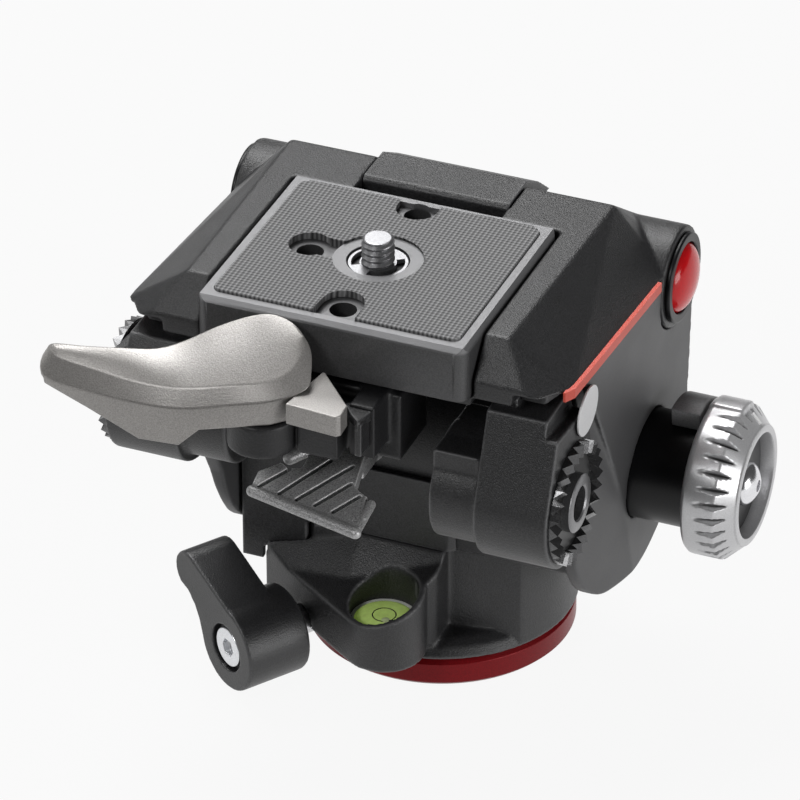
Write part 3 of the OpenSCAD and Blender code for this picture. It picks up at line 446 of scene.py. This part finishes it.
def carved(blank, cutter, skin, passes):
    """The joined blank with the cutter taken out of it, its edges rounded."""
    pair = []
    for name, bm in (("blank", blank), ("cutter", cutter)):
        bmesh.ops.recalc_face_normals(bm, faces=bm.faces)
        mesh = bpy.data.meshes.new(name)
        bm.to_mesh(mesh)
        bm.free()
        pair.append(bpy.data.objects.new(name, mesh))
        scene.collection.objects.link(pair[-1])
        cast(pair[-1], skin, 2)
    cut = pair[0].modifiers.new("cut", "BOOLEAN")
    cut.object = pair[1]
    cast(pair[0], skin, passes)
    made = bmesh.new()
    made.from_object(pair[0], bpy.context.evaluated_depsgraph_get())
    for used in pair:
        bpy.data.objects.remove(used)
    return made


hollow_flank = [(14.5, 3.4), (11.5, 3.7), (8.8, 4.8), (6.6, 6.3)]
arm_outline = arc(lock_hub_r, 0, 60, 300, 10) + arc(tip_r, tip_x, -70, 90, 20) + hollow_flank
for name, solid, body, place in (
    (
        "pan_lock_paddle",
        "pan_lock_knob",
        "pan_lock",
        Matrix.Translation((0, 0, pan_lock_height * MM))
        @ turn(pan_lock_way, "Z")
        @ Matrix.Translation((pan_lock_reach * MM, 0, 0))
        @ turn(90, "Z")
        @ turn(90, "X")
        @ turn(pan_lock_turn, "Z"),
    ),
    (
        "tilt_lock_paddle",
        "tilt_lock_knob",
        "tilt_lock",
        Matrix.Translation((-tilt_lock_reach * MM, 0, tilt_axis_height * MM))
        @ turn(-90, "Y")
        @ turn(tilt_lock_turn, "Z"),
    ),
):
    blank, cutter = bmesh.new(), bmesh.new()
    prism(blank, disc(lock_hub_r), 0, lock_depth)
    prism(blank, arm_outline, arm_from, lock_depth)
    prism(cutter, disc(lock_recess), lock_depth - recess_depth, lock_depth + 1)
    prism(cutter, disc(lock_bore), -1, lock_depth - 1)
    bm = carved(blank, cutter, 0.25, 6)
    bm.transform(place)
    piece(name, bm, moulded_black, body, solid, 180)
zinc_plate = finish("zinc_plate", (0.75, 0.76, 0.78), 0.3, metal=0.85, grain=0.3, relief=0.015, mottle=0.1)
for name in ("pan_lock_screw", "tilt_lock_screw"):
    ease_edges(dress(name, zinc_plate), 0.25)
for name in ("pan_lock_stem", "tilt_lock_stem"):
    dress(name, machined_steel)
dress("tilt_lock_boss", moulded_black)

# The top: one black coated casting with a flat crown, two slanted shoulders and the plate's
# bed, and a raised block behind the plate. The rear tube crosses it behind the bed.
smooth_coat = finish("smooth_coat", **coat)
cast(dress("top_casting", smooth_coat), 0.3, 24)
cast(dress("rear_cover", textured_coat), 0.3, 5)

# The side covers: smoother castings in dark satin grey, screwed on from inside. Each has a red
# plastic strip in the joint under the shoulder, and the right one carries a bare white disc.
# Its edges are painted slightly lighter, partly wear and partly painted highlight.
satin_grey = finish("satin_grey", (0.066, 0.066, 0.068), 0.5, grain=0.3, relief=0.02, mottle=0.1, edge=0.2)
for name in ("cheek_right", "cheek_left"):
    cast(dress(name, satin_grey), 0.35, 8)
dress("cheek_screws", blued_steel)
coral_strip = finish("coral_strip", (0.62, 0.075, 0.045), 0.45, grain=0.3, relief=0.01, mottle=0.08)
stripe_ends = ((-49.8, 88.85), (-0.7, 85.15))
stripe_tall = 2.0
stripe_sections = ((0.0, 1.0), (0.05, 0.0), (1.0, 0.0))
bm = bmesh.new()
(front_y, front_z), (rear_y, rear_z) = stripe_ends
for inner, outer, cut_short, sink in ((43.6, 45.05, 0.0, 0.0), (-43.2, -44.55, 4.0, 0.7)):
    rows = []
    for share, taper in stripe_sections:
        y = front_y + cut_short + (rear_y - front_y - cut_short) * share
        z = front_z - sink + (rear_z - front_z) * share
        edge_x = outer - math.copysign(taper, outer)
        corners = ((inner, 0), (inner, stripe_tall), (edge_x, stripe_tall), (edge_x, 0))
        rows.append([bm.verts.new(Vector((x, y, z + up)) * MM) for x, up in corners])
    capped(bm, rows)
piece("coral_bands", bm, coral_strip, "tilt", "side_stripes")
white_disc = finish("white_disc", (0.82, 0.82, 0.83), 0.3, grain=0.3, relief=0.006, mottle=0.03)
ease_edges(dress("cheek_badge", white_disc), 0.12)

# The ends of the rear tube: a black ring with a glossy red dome on the right, and a plain
# black cap on the left.
gloss_black = finish("gloss_black", (0.006, 0.006, 0.007), 0.35, grain=0.3, relief=0.01, shine=0.25)
ease_edges(dress("rear_bezel", gloss_black), 0.35)
ease_edges(dress("rear_cap", gloss_black), 0.35)
red_dome = finish(
    "red_dome_gloss", (0.62, 0.004, 0.008), 0.22, grain=0.6, relief=0.004, mottle=0.06, shine=0.3
)
tune(red_dome, Coat_Weight=0.2, Coat_Roughness=0.04)
dome_low, dome_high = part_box("red_dome")
dome_r = (dome_high.z - dome_low.z) / 2 / MM
dome_rise = 3.2
dome_turns = (0, 0.15, 0.3, 0.5, 0.7, 0.9, 1.1, 1.3, 1.45, 1.55)
dome_section = [(dome_rise * math.sin(a), dome_r * math.cos(a)) for a in dome_turns]
dome_foot = Vector((dome_low.x, (dome_low.y + dome_high.y) / 2, (dome_low.z + dome_high.z) / 2))
dome = turned(dome_section, 72, Matrix.Translation(dome_foot) @ turn(90, "Y"))
piece("gloss_dome", dome, red_dome, "tilt", "red_dome", 60)

# The handle mounts: arms cast and coated like the housing, each with a toothed steel disc,
# through which a handle is bolted to a captive nut inside the hub.
for name in ("bracket_right", "bracket_left"):
    cast(dress(name, textured_coat), 0.35, 6)
# The valleys between the teeth are painted darker as shade.
tooth_black = finish("tooth_black", (0.1, 0.1, 0.102), 0.24, metal=0.8, grain=0.3, relief=0.012, hollow_shade=1.0)
tube_grey = finish("tube_grey", (0.2, 0.2, 0.205), 0.34, metal=0.6, grain=0.3, relief=0.012)
rosette_teeth, tooth_inner = 26, 9.6
valley_outer, valley_inner, well_inner = 0.2, 0.4, 5.5


def rosette(name, solid, outward):
    """Radial teeth, a black disc of painted shade on the floor inside them and a plain tube round the bolt's
    hole.
    """
    low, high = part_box(solid)
    base = (low.x if outward > 0 else high.x) / MM
    depth = (high.x - low.x) / MM
    outer = (high.z - low.z) / 2 / MM
    bm = bmesh.new()
    rows = []
    for i in range(2 * rosette_teeth):
        a = math.pi * i / rosette_teeth
        peak = i % 2 == 0
        rows.append(
            [
                bm.verts.new((x * MM, r * math.cos(a) * MM, r * math.sin(a) * MM))
                for x, r in (
                    (0, outer),
                    (depth if peak else valley_outer, outer),
                    (depth if peak else valley_inner, tooth_inner),
                    (0, tooth_inner - 0.1),
                )
            ]
        )
    quilt(bm, rows)
    place = Matrix.Translation((base * MM, (low.y + high.y) / 2, (low.z + high.z) / 2))
    if outward < 0:
        place = place @ turn(180, "Z")
    bm.transform(place)
    piece(name, bm, tooth_black, "tilt", solid)
    spin = place @ turn(90, "Y")
    # The floor inside the teeth is a thin black disc of painted shade.
    well_shade = [(0.02, well_inner), (0.02, tooth_inner), (0.15, tooth_inner), (0.15, well_inner)]
    piece(name + "_well", tube(well_shade, 64, spin), print_and_shade_black, "tilt")
    rim = [(0, 3.3), (0, 5.7), (depth - 0.25, 5.7), (depth, 5.4), (depth, 3.6), (depth - 0.3, 3.3)]
    piece(name + "_tube", tube(rim, 64, spin), tube_grey, "tilt", smooth=40)


rosette("toothed_disc_right", "rosette_right", 1)
rosette("toothed_disc_left", "rosette_left", -1)
dress("rosette_nuts", machined_steel)

# The drag selector: a drum in silver paint with grip notches round it, a wide bevel, a dark
# sunk face and a domed socket screw. It turns on a black collar that carries a grey pointer.
ease_edges(dress("selector_collar", gloss_black), 0.3)
pointer_grey = finish("pointer_grey", (0.2, 0.2, 0.205), 0.4, grain=0.3, relief=0.015)
ease_edges(dress("selector_index", pointer_grey), 0.3)
# Its grip notches are painted darker as shade.
silver_paint = finish(
    "silver_paint",
    (0.58, 0.58, 0.59),
    0.32,
    metal=0.55,
    grain=0.25,
    relief=0.01,
    mottle=0.08,
    hollow_shade=0.95,
)
drum_low, drum_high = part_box("selector_knob")
drum_r = (drum_high.z - drum_low.z) / 2 / MM
drum_notches, steps_a_notch = 30, 14
notch_from, notch_deepest, notch_depth = 2.8, 8.6, 2.3
notch_narrow, notch_widens, notch_round, notched_r = 0.2, 0.34, 0.7, 12
index_turn, index_half, index_rise = math.radians(14), math.radians(11), 0.6
index_from, index_to, index_fade = 0.2, 7.3, 0.15
drum_section = [(0.0, 3.2), (0.0, drum_r - 1.3), (0.3, drum_r - 0.5), (0.9, drum_r - 0.05)]
drum_section += [(1.5 + 0.4 * k, drum_r) for k in range(14)]
drum_section += [(7.0 + 0.2 * k, drum_r - 0.06 - 0.195 * k) for k in range(18)]
drum_section += [(10.6, 12.0), (10.75, 11.75), (10.8, 11.4), (10.8, 10.9), (10.65, 10.55), (10.3, 10.4)]
drum_section += [(5.4, 10.4), (5.4, 3.2)]
drum_steps = drum_notches * steps_a_notch
bm = bmesh.new()
rings = []
for x, r in drum_section:
    ring = []
    for i in range(drum_steps):
        a = 2 * math.pi * i / drum_steps
        off_index = abs((a - index_turn + math.pi) % (2 * math.pi) - math.pi) / index_half
        across = abs(((i + 0.5) / steps_a_notch) % 1.0 - 0.5) * 2
        reach = r
        if off_index < 1 + index_fade and index_from < x < index_to:
            reach += index_rise * min(1, (1 + index_fade - off_index) / index_fade)
        elif x > notch_from and r > notched_r:
            along = min(1, (x - notch_from) / (notch_deepest - notch_from))
            half_width = notch_narrow + notch_widens * along
            hollow = max(0.0, 1 - across / half_width) ** notch_round
            reach = min(r, drum_r - notch_depth * along * hollow)
        ring.append(bm.verts.new((x * MM, reach * math.sin(a) * MM, reach * math.cos(a) * MM)))
    rings.append(ring)
quilt(bm, rings)
drum_middle = Vector((drum_low.x, 0, (drum_low.z + drum_high.z) / 2))
bm.transform(Matrix.Translation(drum_middle))
piece("selector_drum", bm, silver_paint, "selector", "selector_knob", 38)
white_mark = finish("white_mark", (0.8, 0.8, 0.8), 0.4, grain=0.3, relief=0.0, mottle=0.02)


def box(bm, low, high):
    """A plain block between two corners, in millimetres."""
    size, middle = Vector(high) - Vector(low), (Vector(high) + Vector(low)) / 2
    bmesh.ops.create_cube(bm, size=MM, matrix=Matrix.Translation(middle * MM) @ Matrix.Diagonal(size.to_4d()))


mark_size, mark_on_bevel = Vector((0.5, 0.9, 2.6)), Vector((9.0, 0, drum_r - 2.02))
bm = bmesh.new()
box(bm, -mark_size / 2, mark_size / 2)
bm.transform(
    Matrix.Translation(drum_middle)
    @ Matrix.Rotation(-index_turn, 4, "X")
    @ Matrix.Translation(mark_on_bevel * MM)
    @ turn(-45, "Y")
)
piece("index_mark", bm, white_mark, "selector")
face_dark = finish("face_dark", (0.03, 0.03, 0.031), 0.4, grain=0.3, relief=0.02)
face_section = [(5.45, 10.35), (7.6, 10.35), (7.9, 10.1), (7.9, 0.5)]
face_plate = turned(face_section, 72, Matrix.Translation(drum_middle) @ turn(90, "Y"))
piece("selector_face", face_plate, face_dark, "selector", "selector_insert", 40)
bright_chrome = finish(
    "bright_chrome", (0.78, 0.78, 0.8), 0.2, metal=1.0, grain=0.6, relief=0.002, mottle=0.03
)
bullet_foot = Vector((5.5, 0, 0))
bullet_section = [(-8.0, 2.9), (2.35, 2.9), (2.35, 4.4), (3.0, 4.4), (3.7, 4.2), (4.3, 3.75), (4.8, 3.1)]
bullet_section += [(5.2, 2.4), (5.5, 1.75), (5.62, 1.4), (5.5, 1.15), (4.4, 1.05)]
bullet = turned(bullet_section, 60, Matrix.Translation(drum_middle + bullet_foot * MM) @ turn(90, "Y"))
piece("bullet_screw", bullet, bright_chrome, "selector", "selector_screw", 50)

# The latch under the plate: a coated block with the pins of the release lever, its safety catch and the
# grooved thumb lever. The block's coat is painted darker than the others, as shade under the plate. The two
# upper levers wear a warm metallic paint.
# A darker copy of the coat: painted shade for the block under the plate.
shaded_black = finish("shaded_black", (0.007, 0.007, 0.008), 0.5, grain=0.4, relief=0.08, mottle=0.5)
cast(dress("latch_block", shaded_black), 0.4, 5)
prong_head = [(5.2, -61.7), (7.6, -64.8), (9.6, -66.6), (10.6, -62.8), (10.8, -59.9), (7.3, -59.6)]
prong_low, prong_high = 84.4, 86.4
prong_stem = ((8.9, -66.4, 78.6), (10.3, -60.5, 85.5))
bm = bmesh.new()
prism(bm, prong_head, prong_low, prong_high)
box(bm, *prong_stem)
cast(piece("latch_prong", bm, textured_coat, "tilt"), 0.2, 5)
for name in ("lever_pin", "catch_pin", "thumb_pin"):
    dress(name, machined_steel)
bronze_paint = finish(
    "bronze_paint", (0.31, 0.298, 0.286), 0.36, metal=0.5, grain=0.26, relief=0.035, mottle=0.2
)
catch_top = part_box("safety_catch")[1].z / MM
catch_tall = 4.4
catch_outline = [(0.0, -59.9), (0.5, -59.9), (8.7, -69.0), (8.9, -72.6), (8.2, -73.4), (-2.1, -72.6)]
bm = bmesh.new()
prism(bm, catch_outline, catch_top - catch_tall, catch_top)
ease_edges(piece("catch_arm", bm, bronze_paint, "catch", "safety_catch"), 0.55, 3)

# The release lever: a die-cast arm, warm metallic paint over a smooth skin. Its top is one
# teardrop face, a sloped band runs round it, and the front wall hangs down as a finger flange.
# Each row is one place on the rim, from the tip along the back, round the hub and home along
# the front: the edge of the top face, the foot of the sloped band, and the bottom edge.
lever_rim = [
    ((-50.4, -69.9, 91.2), (-51.3, -69.6, 89.6), (-51.0, -69.8, 85.2)),
    ((-43.5, -69.6, 92.1), (-43.5, -68.7, 91.1), (-43.5, -68.9, 83.4)),
    ((-36.5, -68.8, 92.9), (-36.5, -67.9, 91.8), (-36.5, -68.0, 81.2)),
    ((-30.2, -67.3, 93.4), (-30.4, -66.4, 92.2), (-30.0, -66.6, 80.2)),
    ((-25.6, -65.0, 94.8), (-25.9, -64.1, 93.5), (-25.0, -64.5, 80.8)),
    ((-20.0, -61.8, 97.5), (-20.4, -60.9, 96.2), (-20.0, -62.2, 84.6)),
    ((-15.0, -59.3, 99.3), (-15.3, -58.4, 97.9), (-15.2, -60.0, 84.6)),
    ((-11.0, -58.2, 100.1), (-11.0, -57.5, 98.6), (-11.5, -59.4, 84.6)),
    ((-6.6, -58.6, 99.5), (-6.2, -57.9, 98.0), (-7.0, -59.5, 84.6)),
    ((-3.4, -60.6, 97.9), (-2.2, -60.4, 96.0), (-3.8, -61.9, 84.6)),
    ((-2.6, -63.8, 96.2), (-0.3, -64.1, 93.6), (-2.6, -65.0, 84.6)),
    ((-3.6, -67.2, 94.4), (0.3, -68.1, 91.9), (-2.9, -68.3, 84.6)),
    ((-6.8, -69.9, 92.9), (-4.8, -71.6, 90.3), (-5.8, -71.4, 84.6)),
    ((-14.2, -72.3, 91.8), (-13.5, -74.0, 88.6), (-11.0, -73.3, 84.0)),
    ((-20.5, -73.7, 90.7), (-19.8, -75.4, 87.3), (-18.3, -75.2, 82.8)),
    ((-25.5, -74.0, 90.0), (-25.1, -75.9, 86.6), (-22.3, -75.6, 78.7)),
    ((-32.5, -73.8, 89.6), (-32.2, -75.6, 86.0), (-30.5, -75.4, 78.0)),
    ((-41.0, -72.9, 89.8), (-41.5, -74.6, 85.6), (-41.0, -74.5, 81.6)),
    ((-48.8, -71.9, 90.2), (-50.9, -73.1, 86.0), (-50.6, -73.0, 84.0)),
]
flare_under = {9: (-3.0, -61.2, 93.4), 10: (-2.0, -64.6, 92.2), 11: (-2.4, -68.0, 91.0)}
rim_rows = [[Vector(row[k]) for row in lever_rim] for k in range(3)]
waist_share = 0.35
waist_row = [
    Vector(flare_under.get(i, row[1])).lerp(Vector(row[2]), 0.0 if i in flare_under else waist_share)
    for i, row in enumerate(lever_rim)
]
rim_rows.insert(2, waist_row)
count = len(lever_rim)
per_step = 6


def along_rim(points, k, bent=True):
    """A closed line through the points, at sample k: a smooth curve, or straight runs."""
    i, f = divmod(k / per_step, 1)
    if not bent:
        return points[int(i) % count].lerp(points[(int(i) + 1) % count], f)
    p, q, r, s = (points[(int(i) + n - 1) % count] for n in range(4))
    return 0.5 * (2 * q + (r - p) * f + (2 * p - 5 * q + 4 * r - s) * f**2 + (3 * q - p - 3 * r + s) * f**3)


def toward(start, end, spare):
    """A unit step from one point to another, or to a spare point where the two are one."""
    reach = end - start
    return (reach if reach.length > 1e-6 else spare - start).normalized()


samples = count * per_step
far_end = (count // 2) * per_step
tip_aim = 5
ease, nip, crown = 0.38, 0.1, 0.3
bm = bmesh.new()
columns = []
for k in range(samples):
    top, foot, waist = (along_rim(row, k) for row in rim_rows[:3])
    low = along_rim(rim_rows[3], k, bent=False)
    across = along_rim(rim_rows[0], (2 * far_end - k) % samples)
    under = along_rim(rim_rows[3], (2 * far_end - k) % samples, bent=False)
    inward = toward(top, across, rim_rows[0][tip_aim])
    home = toward(low, under, rim_rows[3][tip_aim])
    band, drop, fall = (foot - top).normalized(), (waist - foot).normalized(), (low - waist).normalized()
    path = [top + inward * ease, top + (inward + band) * nip, top + band * ease]
    path += [foot - band * ease, foot + (drop - band) * nip, foot + drop * ease, waist]
    path += [low - fall * ease, low + (home - fall) * nip, low + home * ease]
    columns.append([bm.verts.new(v * MM) for v in path])
for k, column in enumerate(columns):
    following = columns[(k + 1) % samples]
    for m in range(len(column) - 1):
        bm.faces.new((column[m], column[m + 1], following[m + 1], following[m]))
strips = 6
spans = []
for k in range(far_end):
    back, front = columns[k][0], columns[(2 * far_end - k) % samples][0]
    inner = []
    for n in range(1, strips):
        middle = back.co.lerp(front.co, n / strips)
        middle.z += crown * MM * math.sin(math.pi * n / strips)
        inner.append(bm.verts.new(middle))
    spans.append([back] + inner + [front])
for first, second in zip(spans, spans[1:]):
    for n in range(strips):
        bm.faces.new((first[n], second[n], second[n + 1], first[n + 1]))
bm.faces.new(spans[-1] + [columns[far_end][0]])
tip = [columns[k][0] for k in range(2 * far_end + 1, samples)]
bm.faces.new(list(reversed(spans[0])) + list(reversed(tip)))
for k in range(far_end - 1):
    mirror_k = 2 * far_end - k
    bm.faces.new((columns[k][-1], columns[mirror_k][-1], columns[mirror_k - 1][-1], columns[k + 1][-1]))
bm.faces.new((columns[far_end - 1][-1], columns[far_end + 1][-1], columns[far_end][-1]))
bm.faces.new([columns[k % samples][-1] for k in range(2 * far_end, samples + 1)])
lever = piece("lever_arm", bm, bronze_paint, "release", "release_lever", 80)
lever.modifiers.new("crisp_faces", "WEIGHTED_NORMAL").weight = 80

# The thumb lever: die-cast metal in a grey satin coat, on its own pin under the latch. Its tab
# slopes down to a rounded lip, and five grooves across it give the thumb a grip.
# Its edges are painted lighter, partly wear and partly painted highlight, and its grooves darker as painted
# shade.
thumb_grey = finish(
    "thumb_grey",
    (0.34, 0.34, 0.342),
    0.4,
    metal=0.4,
    grain=0.28,
    relief=0.07,
    mottle=0.5,
    edge=0.5,
    hollow_shade=1.0,
)
tab_corner = Vector((-12.1, -65.5, 63.0))
tab_place = Matrix.Translation(tab_corner * MM) @ turn(-15.7, "Z") @ turn(14, "X")
tab_outline = [(-0.4, 0.5), (-1.9, 4.9), (0.6, 8.9), (2.7, 8.2), (4.9, 9.6), (3.6, 14.9)]
tab_outline += [(3.5, 17.1), (13.4, 18.4), (17.0, 10.4), (19.2, 9.6), (20.6, 9.4), (23.4, 1.6)]
tab_face = 2.6
lip = [(-0.2, 0.7), (23.9, 1.2), (22.0, 8.6)]
grooves = [
    ((0.8, 1.8), (3.1, 8.1)),
    ((5.4, 2.1), (8.7, 13.7)),
    ((9.3, 2.4), (13.4, 14.4)),
    ((13.3, 2.9), (15.9, 10.5)),
    ((17.4, 3.1), (19.3, 8.6)),
]
groove_r, groove_steps = 0.5, (0.0, 0.45, 0.9)
tab_thick, lip_sunk, lip_r, lip_end_r = 2.0, 0.8, 1.15, 0.9
nub, nub_r = ((1.5, 10.4, tab_face + 0.2), (3.9, 16.0, tab_face - 0.2)), 1.35
thumb_pivot, eye_r, pin_r = (1.5, -46.0), 5, 1.75
thumb_low, thumb_high = 65.8, 69.0


def bar(bm, start, end, radius):
    """A round bar with ball ends."""
    start, end = Vector(start), Vector(end)
    lean = (end - start).to_track_quat("Z", "Y").to_matrix().to_4x4()
    middle = Matrix.Translation((start + end) / 2 * MM) @ lean
    length = (end - start).length * MM
    r = radius * MM
    bmesh.ops.create_cone(bm, cap_ends=True, segments=16, radius1=r, radius2=r, depth=length, matrix=middle)
    for place in (start, end):
        at = Matrix.Translation(place * MM)
        bmesh.ops.create_uvsphere(bm, u_segments=16, v_segments=10, radius=r, matrix=at)


bm, cutter = bmesh.new(), bmesh.new()
box(bm, (-3.0, -55.0, thumb_low), (6.0, -46.0, thumb_high))
prism(bm, disc(eye_r, *thumb_pivot), thumb_low, thumb_high)
prism(cutter, disc(pin_r, *thumb_pivot), thumb_low - 1, thumb_high + 1)
for shells in (bm, cutter):
    shells.transform(tab_place.inverted())
prism(bm, tab_outline, tab_face - tab_thick, tab_face)
lip_points = [(x, y, tab_face - lip_sunk) for x, y in lip]
bar(bm, lip_points[0], lip_points[1], lip_r)
bar(bm, lip_points[1], lip_points[2], lip_end_r)
bar(bm, *nub, nub_r)
for start, end in grooves:
    for sunk in groove_steps:
        bar(cutter, (*start, tab_face - sunk), (*end, tab_face - sunk), groove_r)
bm = carved(bm, cutter, 0.17, 3)
bm.transform(tab_place)
piece("thumb_tab", bm, thumb_grey, "thumb", "thumb_lever", 180)

# The camera plate: a machined aluminium slab with a bevelled rim, which drops into the bed and holds a rubber
# pad and the camera screw. Its top rim is painted lighter, partly as worn metal and partly as a painted
# highlight. A sprung bronze pin stands under it.
plate_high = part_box("camera_plate")[1]
plate_grey = finish("plate_grey", (0.085, 0.085, 0.087), 0.42, metal=0.5, grain=0.25, relief=0.03, mottle=0.2)
shader = plate_grey.node_tree.nodes["Principled BSDF"]
painted = shader.inputs["Base Color"].links[0].from_socket
height = node(plate_grey, "SeparateXYZ")
link(plate_grey, node(plate_grey, "TexCoord").outputs["Object"], height.inputs[0])
# The top rim is painted lighter by height, partly as worn bare metal and partly as a painted highlight.
rim_from, rim_full = plate_high.z - 1.5 * MM, plate_high.z - 0.9 * MM
rub_and_glint = node(plate_grey, "MapRange", From_Min=rim_from, From_Max=rim_full)
link(plate_grey, height.outputs["Z"], rub_and_glint.inputs["Value"])
rim = tint(plate_grey, painted, rub_and_glint.outputs[0], (0.2, 0.2, 0.205, 1))
link(plate_grey, rim, shader.inputs["Base Color"])
ease_edges(dress("camera_plate", plate_grey), 0.35, 3)
dress("trigger_pin", bush_bronze)

# The pad: moulded rubber set into the plate's top and standing a little above its rim. Its face
# is embossed with a fine diagonal weave for grip.
weave_pitch = 1.25
pad_rubber = bpy.data.materials.new("woven_rubber")
pad_rubber.use_nodes = True
tune(pad_rubber, Roughness=0.5)
slant = node(pad_rubber, "Mapping", Rotation=(0, 0, math.radians(45)))
link(pad_rubber, node(pad_rubber, "TexCoord").outputs["Object"], slant.inputs["Vector"])
split = node(pad_rubber, "SeparateXYZ")
link(pad_rubber, slant.outputs[0], split.inputs[0])


def rib(axis):
    """A wave across the pad, one crest to each pitch of the weave."""
    run = sums(pad_rubber, "MULTIPLY", split.outputs[axis], 2 * math.pi / (weave_pitch * MM))
    return sums(pad_rubber, "SINE", run)


crossing = sums(pad_rubber, "MULTIPLY_ADD", sums(pad_rubber, "MULTIPLY", rib("X"), 0.5), rib("Y"), 0.5)
shader = pad_rubber.node_tree.nodes["Principled BSDF"]
emboss = node(pad_rubber, "Bump", Strength=1.0, Distance=0.3 * MM)
link(pad_rubber, crossing, emboss.inputs["Height"])
link(pad_rubber, emboss.outputs[0], shader.inputs["Normal"])
# The weave's crests are painted lighter and its hollows darker: painted highlight and painted shade that
# follow the emboss.
tone = node(pad_rubber, "ValToRGB")
tone.color_ramp.elements[0].color = (0.03, 0.03, 0.031, 1)
tone.color_ramp.elements[1].color = (0.32, 0.32, 0.325, 1)
link(pad_rubber, crossing, tone.inputs[0])
link(pad_rubber, tone.outputs[0], shader.inputs["Base Color"])
pad_lift = 0.75
bm = bmesh.new()
bm.from_mesh(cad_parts["plate_pad"].data)
pad_low, pad_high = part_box("plate_pad")
for vert in bm.verts:
    if vert.co.z > (pad_low.z + pad_high.z) / 2:
        vert.co.z += pad_lift * MM
ease_edges(piece("grip_pad", bm, pad_rubber, "tilt", "plate_pad"), 0.2)

# The camera screw: a threaded steel post through the plate, with a windowed washer under the
# thread and a coin-slotted head below. It turns freely in the plate.
screw_low, screw_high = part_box("camera_screw")
screw_x, screw_y = (screw_low.x + screw_high.x) / 2, (screw_low.y + screw_high.y) / 2
thread_crest, thread_root, thread_pitch = 3.17, 2.66, 1.27
flank_slope, root_flat = 2.6, 0.15
lead_tall, lead_r, lead_spread = 0.9, 2.45, 0.72
thread_from = plate_high.z / MM - 1.2
thread_to = screw_high.z / MM
turns_round, rows = 48, 92
bm = bmesh.new()
stack = []
for k in range(rows + 1):
    z = thread_from + (thread_to - thread_from) * k / rows
    ring = []
    for i in range(turns_round):
        a = 2 * math.pi * i / turns_round
        phase = (z / thread_pitch - i / turns_round) % 1.0
        crest = min(1.0, max(0.0, flank_slope * abs(phase - 0.5) - root_flat))
        r = thread_root + (thread_crest - thread_root) * crest
        lead_in = thread_to - z
        if lead_in < lead_tall:
            r = min(r, lead_r + lead_spread * math.sqrt(max(0.0, lead_in / lead_tall)))
        ring.append(bm.verts.new((r * math.cos(a) * MM, r * math.sin(a) * MM, z * MM)))
    stack.append(ring)
capped(bm, stack)


def sector(bm, r_in, r_out, start, end, low, high):
    """A flat ring, or a part of one, between two angles in degrees and two heights."""
    steps = max(3, int((end - start) / 6))
    whole = end - start >= 360
    columns = []
    for i in range(steps + (0 if whole else 1)):
        a = math.radians(start + (end - start) * i / steps)
        columns.append(
            [
                bm.verts.new((r * math.cos(a) * MM, r * math.sin(a) * MM, z * MM))
                for r, z in ((r_in, low), (r_out, low), (r_out, high), (r_in, high))
            ]
        )
    pairs = list(zip(columns, columns[1:])) + ([(columns[-1], columns[0])] if whole else [])
    for first, second in pairs:
        for k in range(4):
            m = (k + 1) % 4
            bm.faces.new((first[k], second[k], second[m], first[m]))
    if not whole:
        bm.faces.new(columns[0])
        bm.faces.new(list(reversed(columns[-1])))


washer_low, washer_high = plate_high.z / MM - 1.3, plate_high.z / MM - 0.35
washer_hub, washer_rim, washer_spoke, spoke_turn = (2.5, 3.5), (5.1, 5.65), (3.45, 5.15), 50
sector(bm, *washer_hub, 0, 360, washer_low, washer_high)
sector(bm, *washer_rim, 0, 360, washer_low, washer_high)
for start in (35, 215):
    sector(bm, *washer_spoke, start, start + spoke_turn, washer_low + 0.01, washer_high - 0.01)
head_low = screw_low.z / MM
head_r, shank_r, core_r, head_tall, slot_deep, half_turn = 5.65, 3.1, 0.4, 3.0, 1.25, 164
sector(bm, core_r, shank_r, 0, 360, head_low + head_tall - 0.1, thread_from + 0.1)
sector(bm, core_r, head_r, 0, 360, head_low + slot_deep - 0.05, head_low + head_tall)
for start in (8, 188):
    sector(bm, 0.9, head_r, start, start + half_turn, head_low, head_low + slot_deep)
bm.transform(Matrix.Translation((screw_x, screw_y, 0)))
# The thread's roots and the slots are painted darker as shade.
screw_steel = finish("screw_steel", (0.32, 0.32, 0.33), 0.36, metal=0.9, grain=0.25, relief=0.015, hollow_shade=0.8)
piece("threaded_post", bm, screw_steel, "camera_screw", "camera_screw")
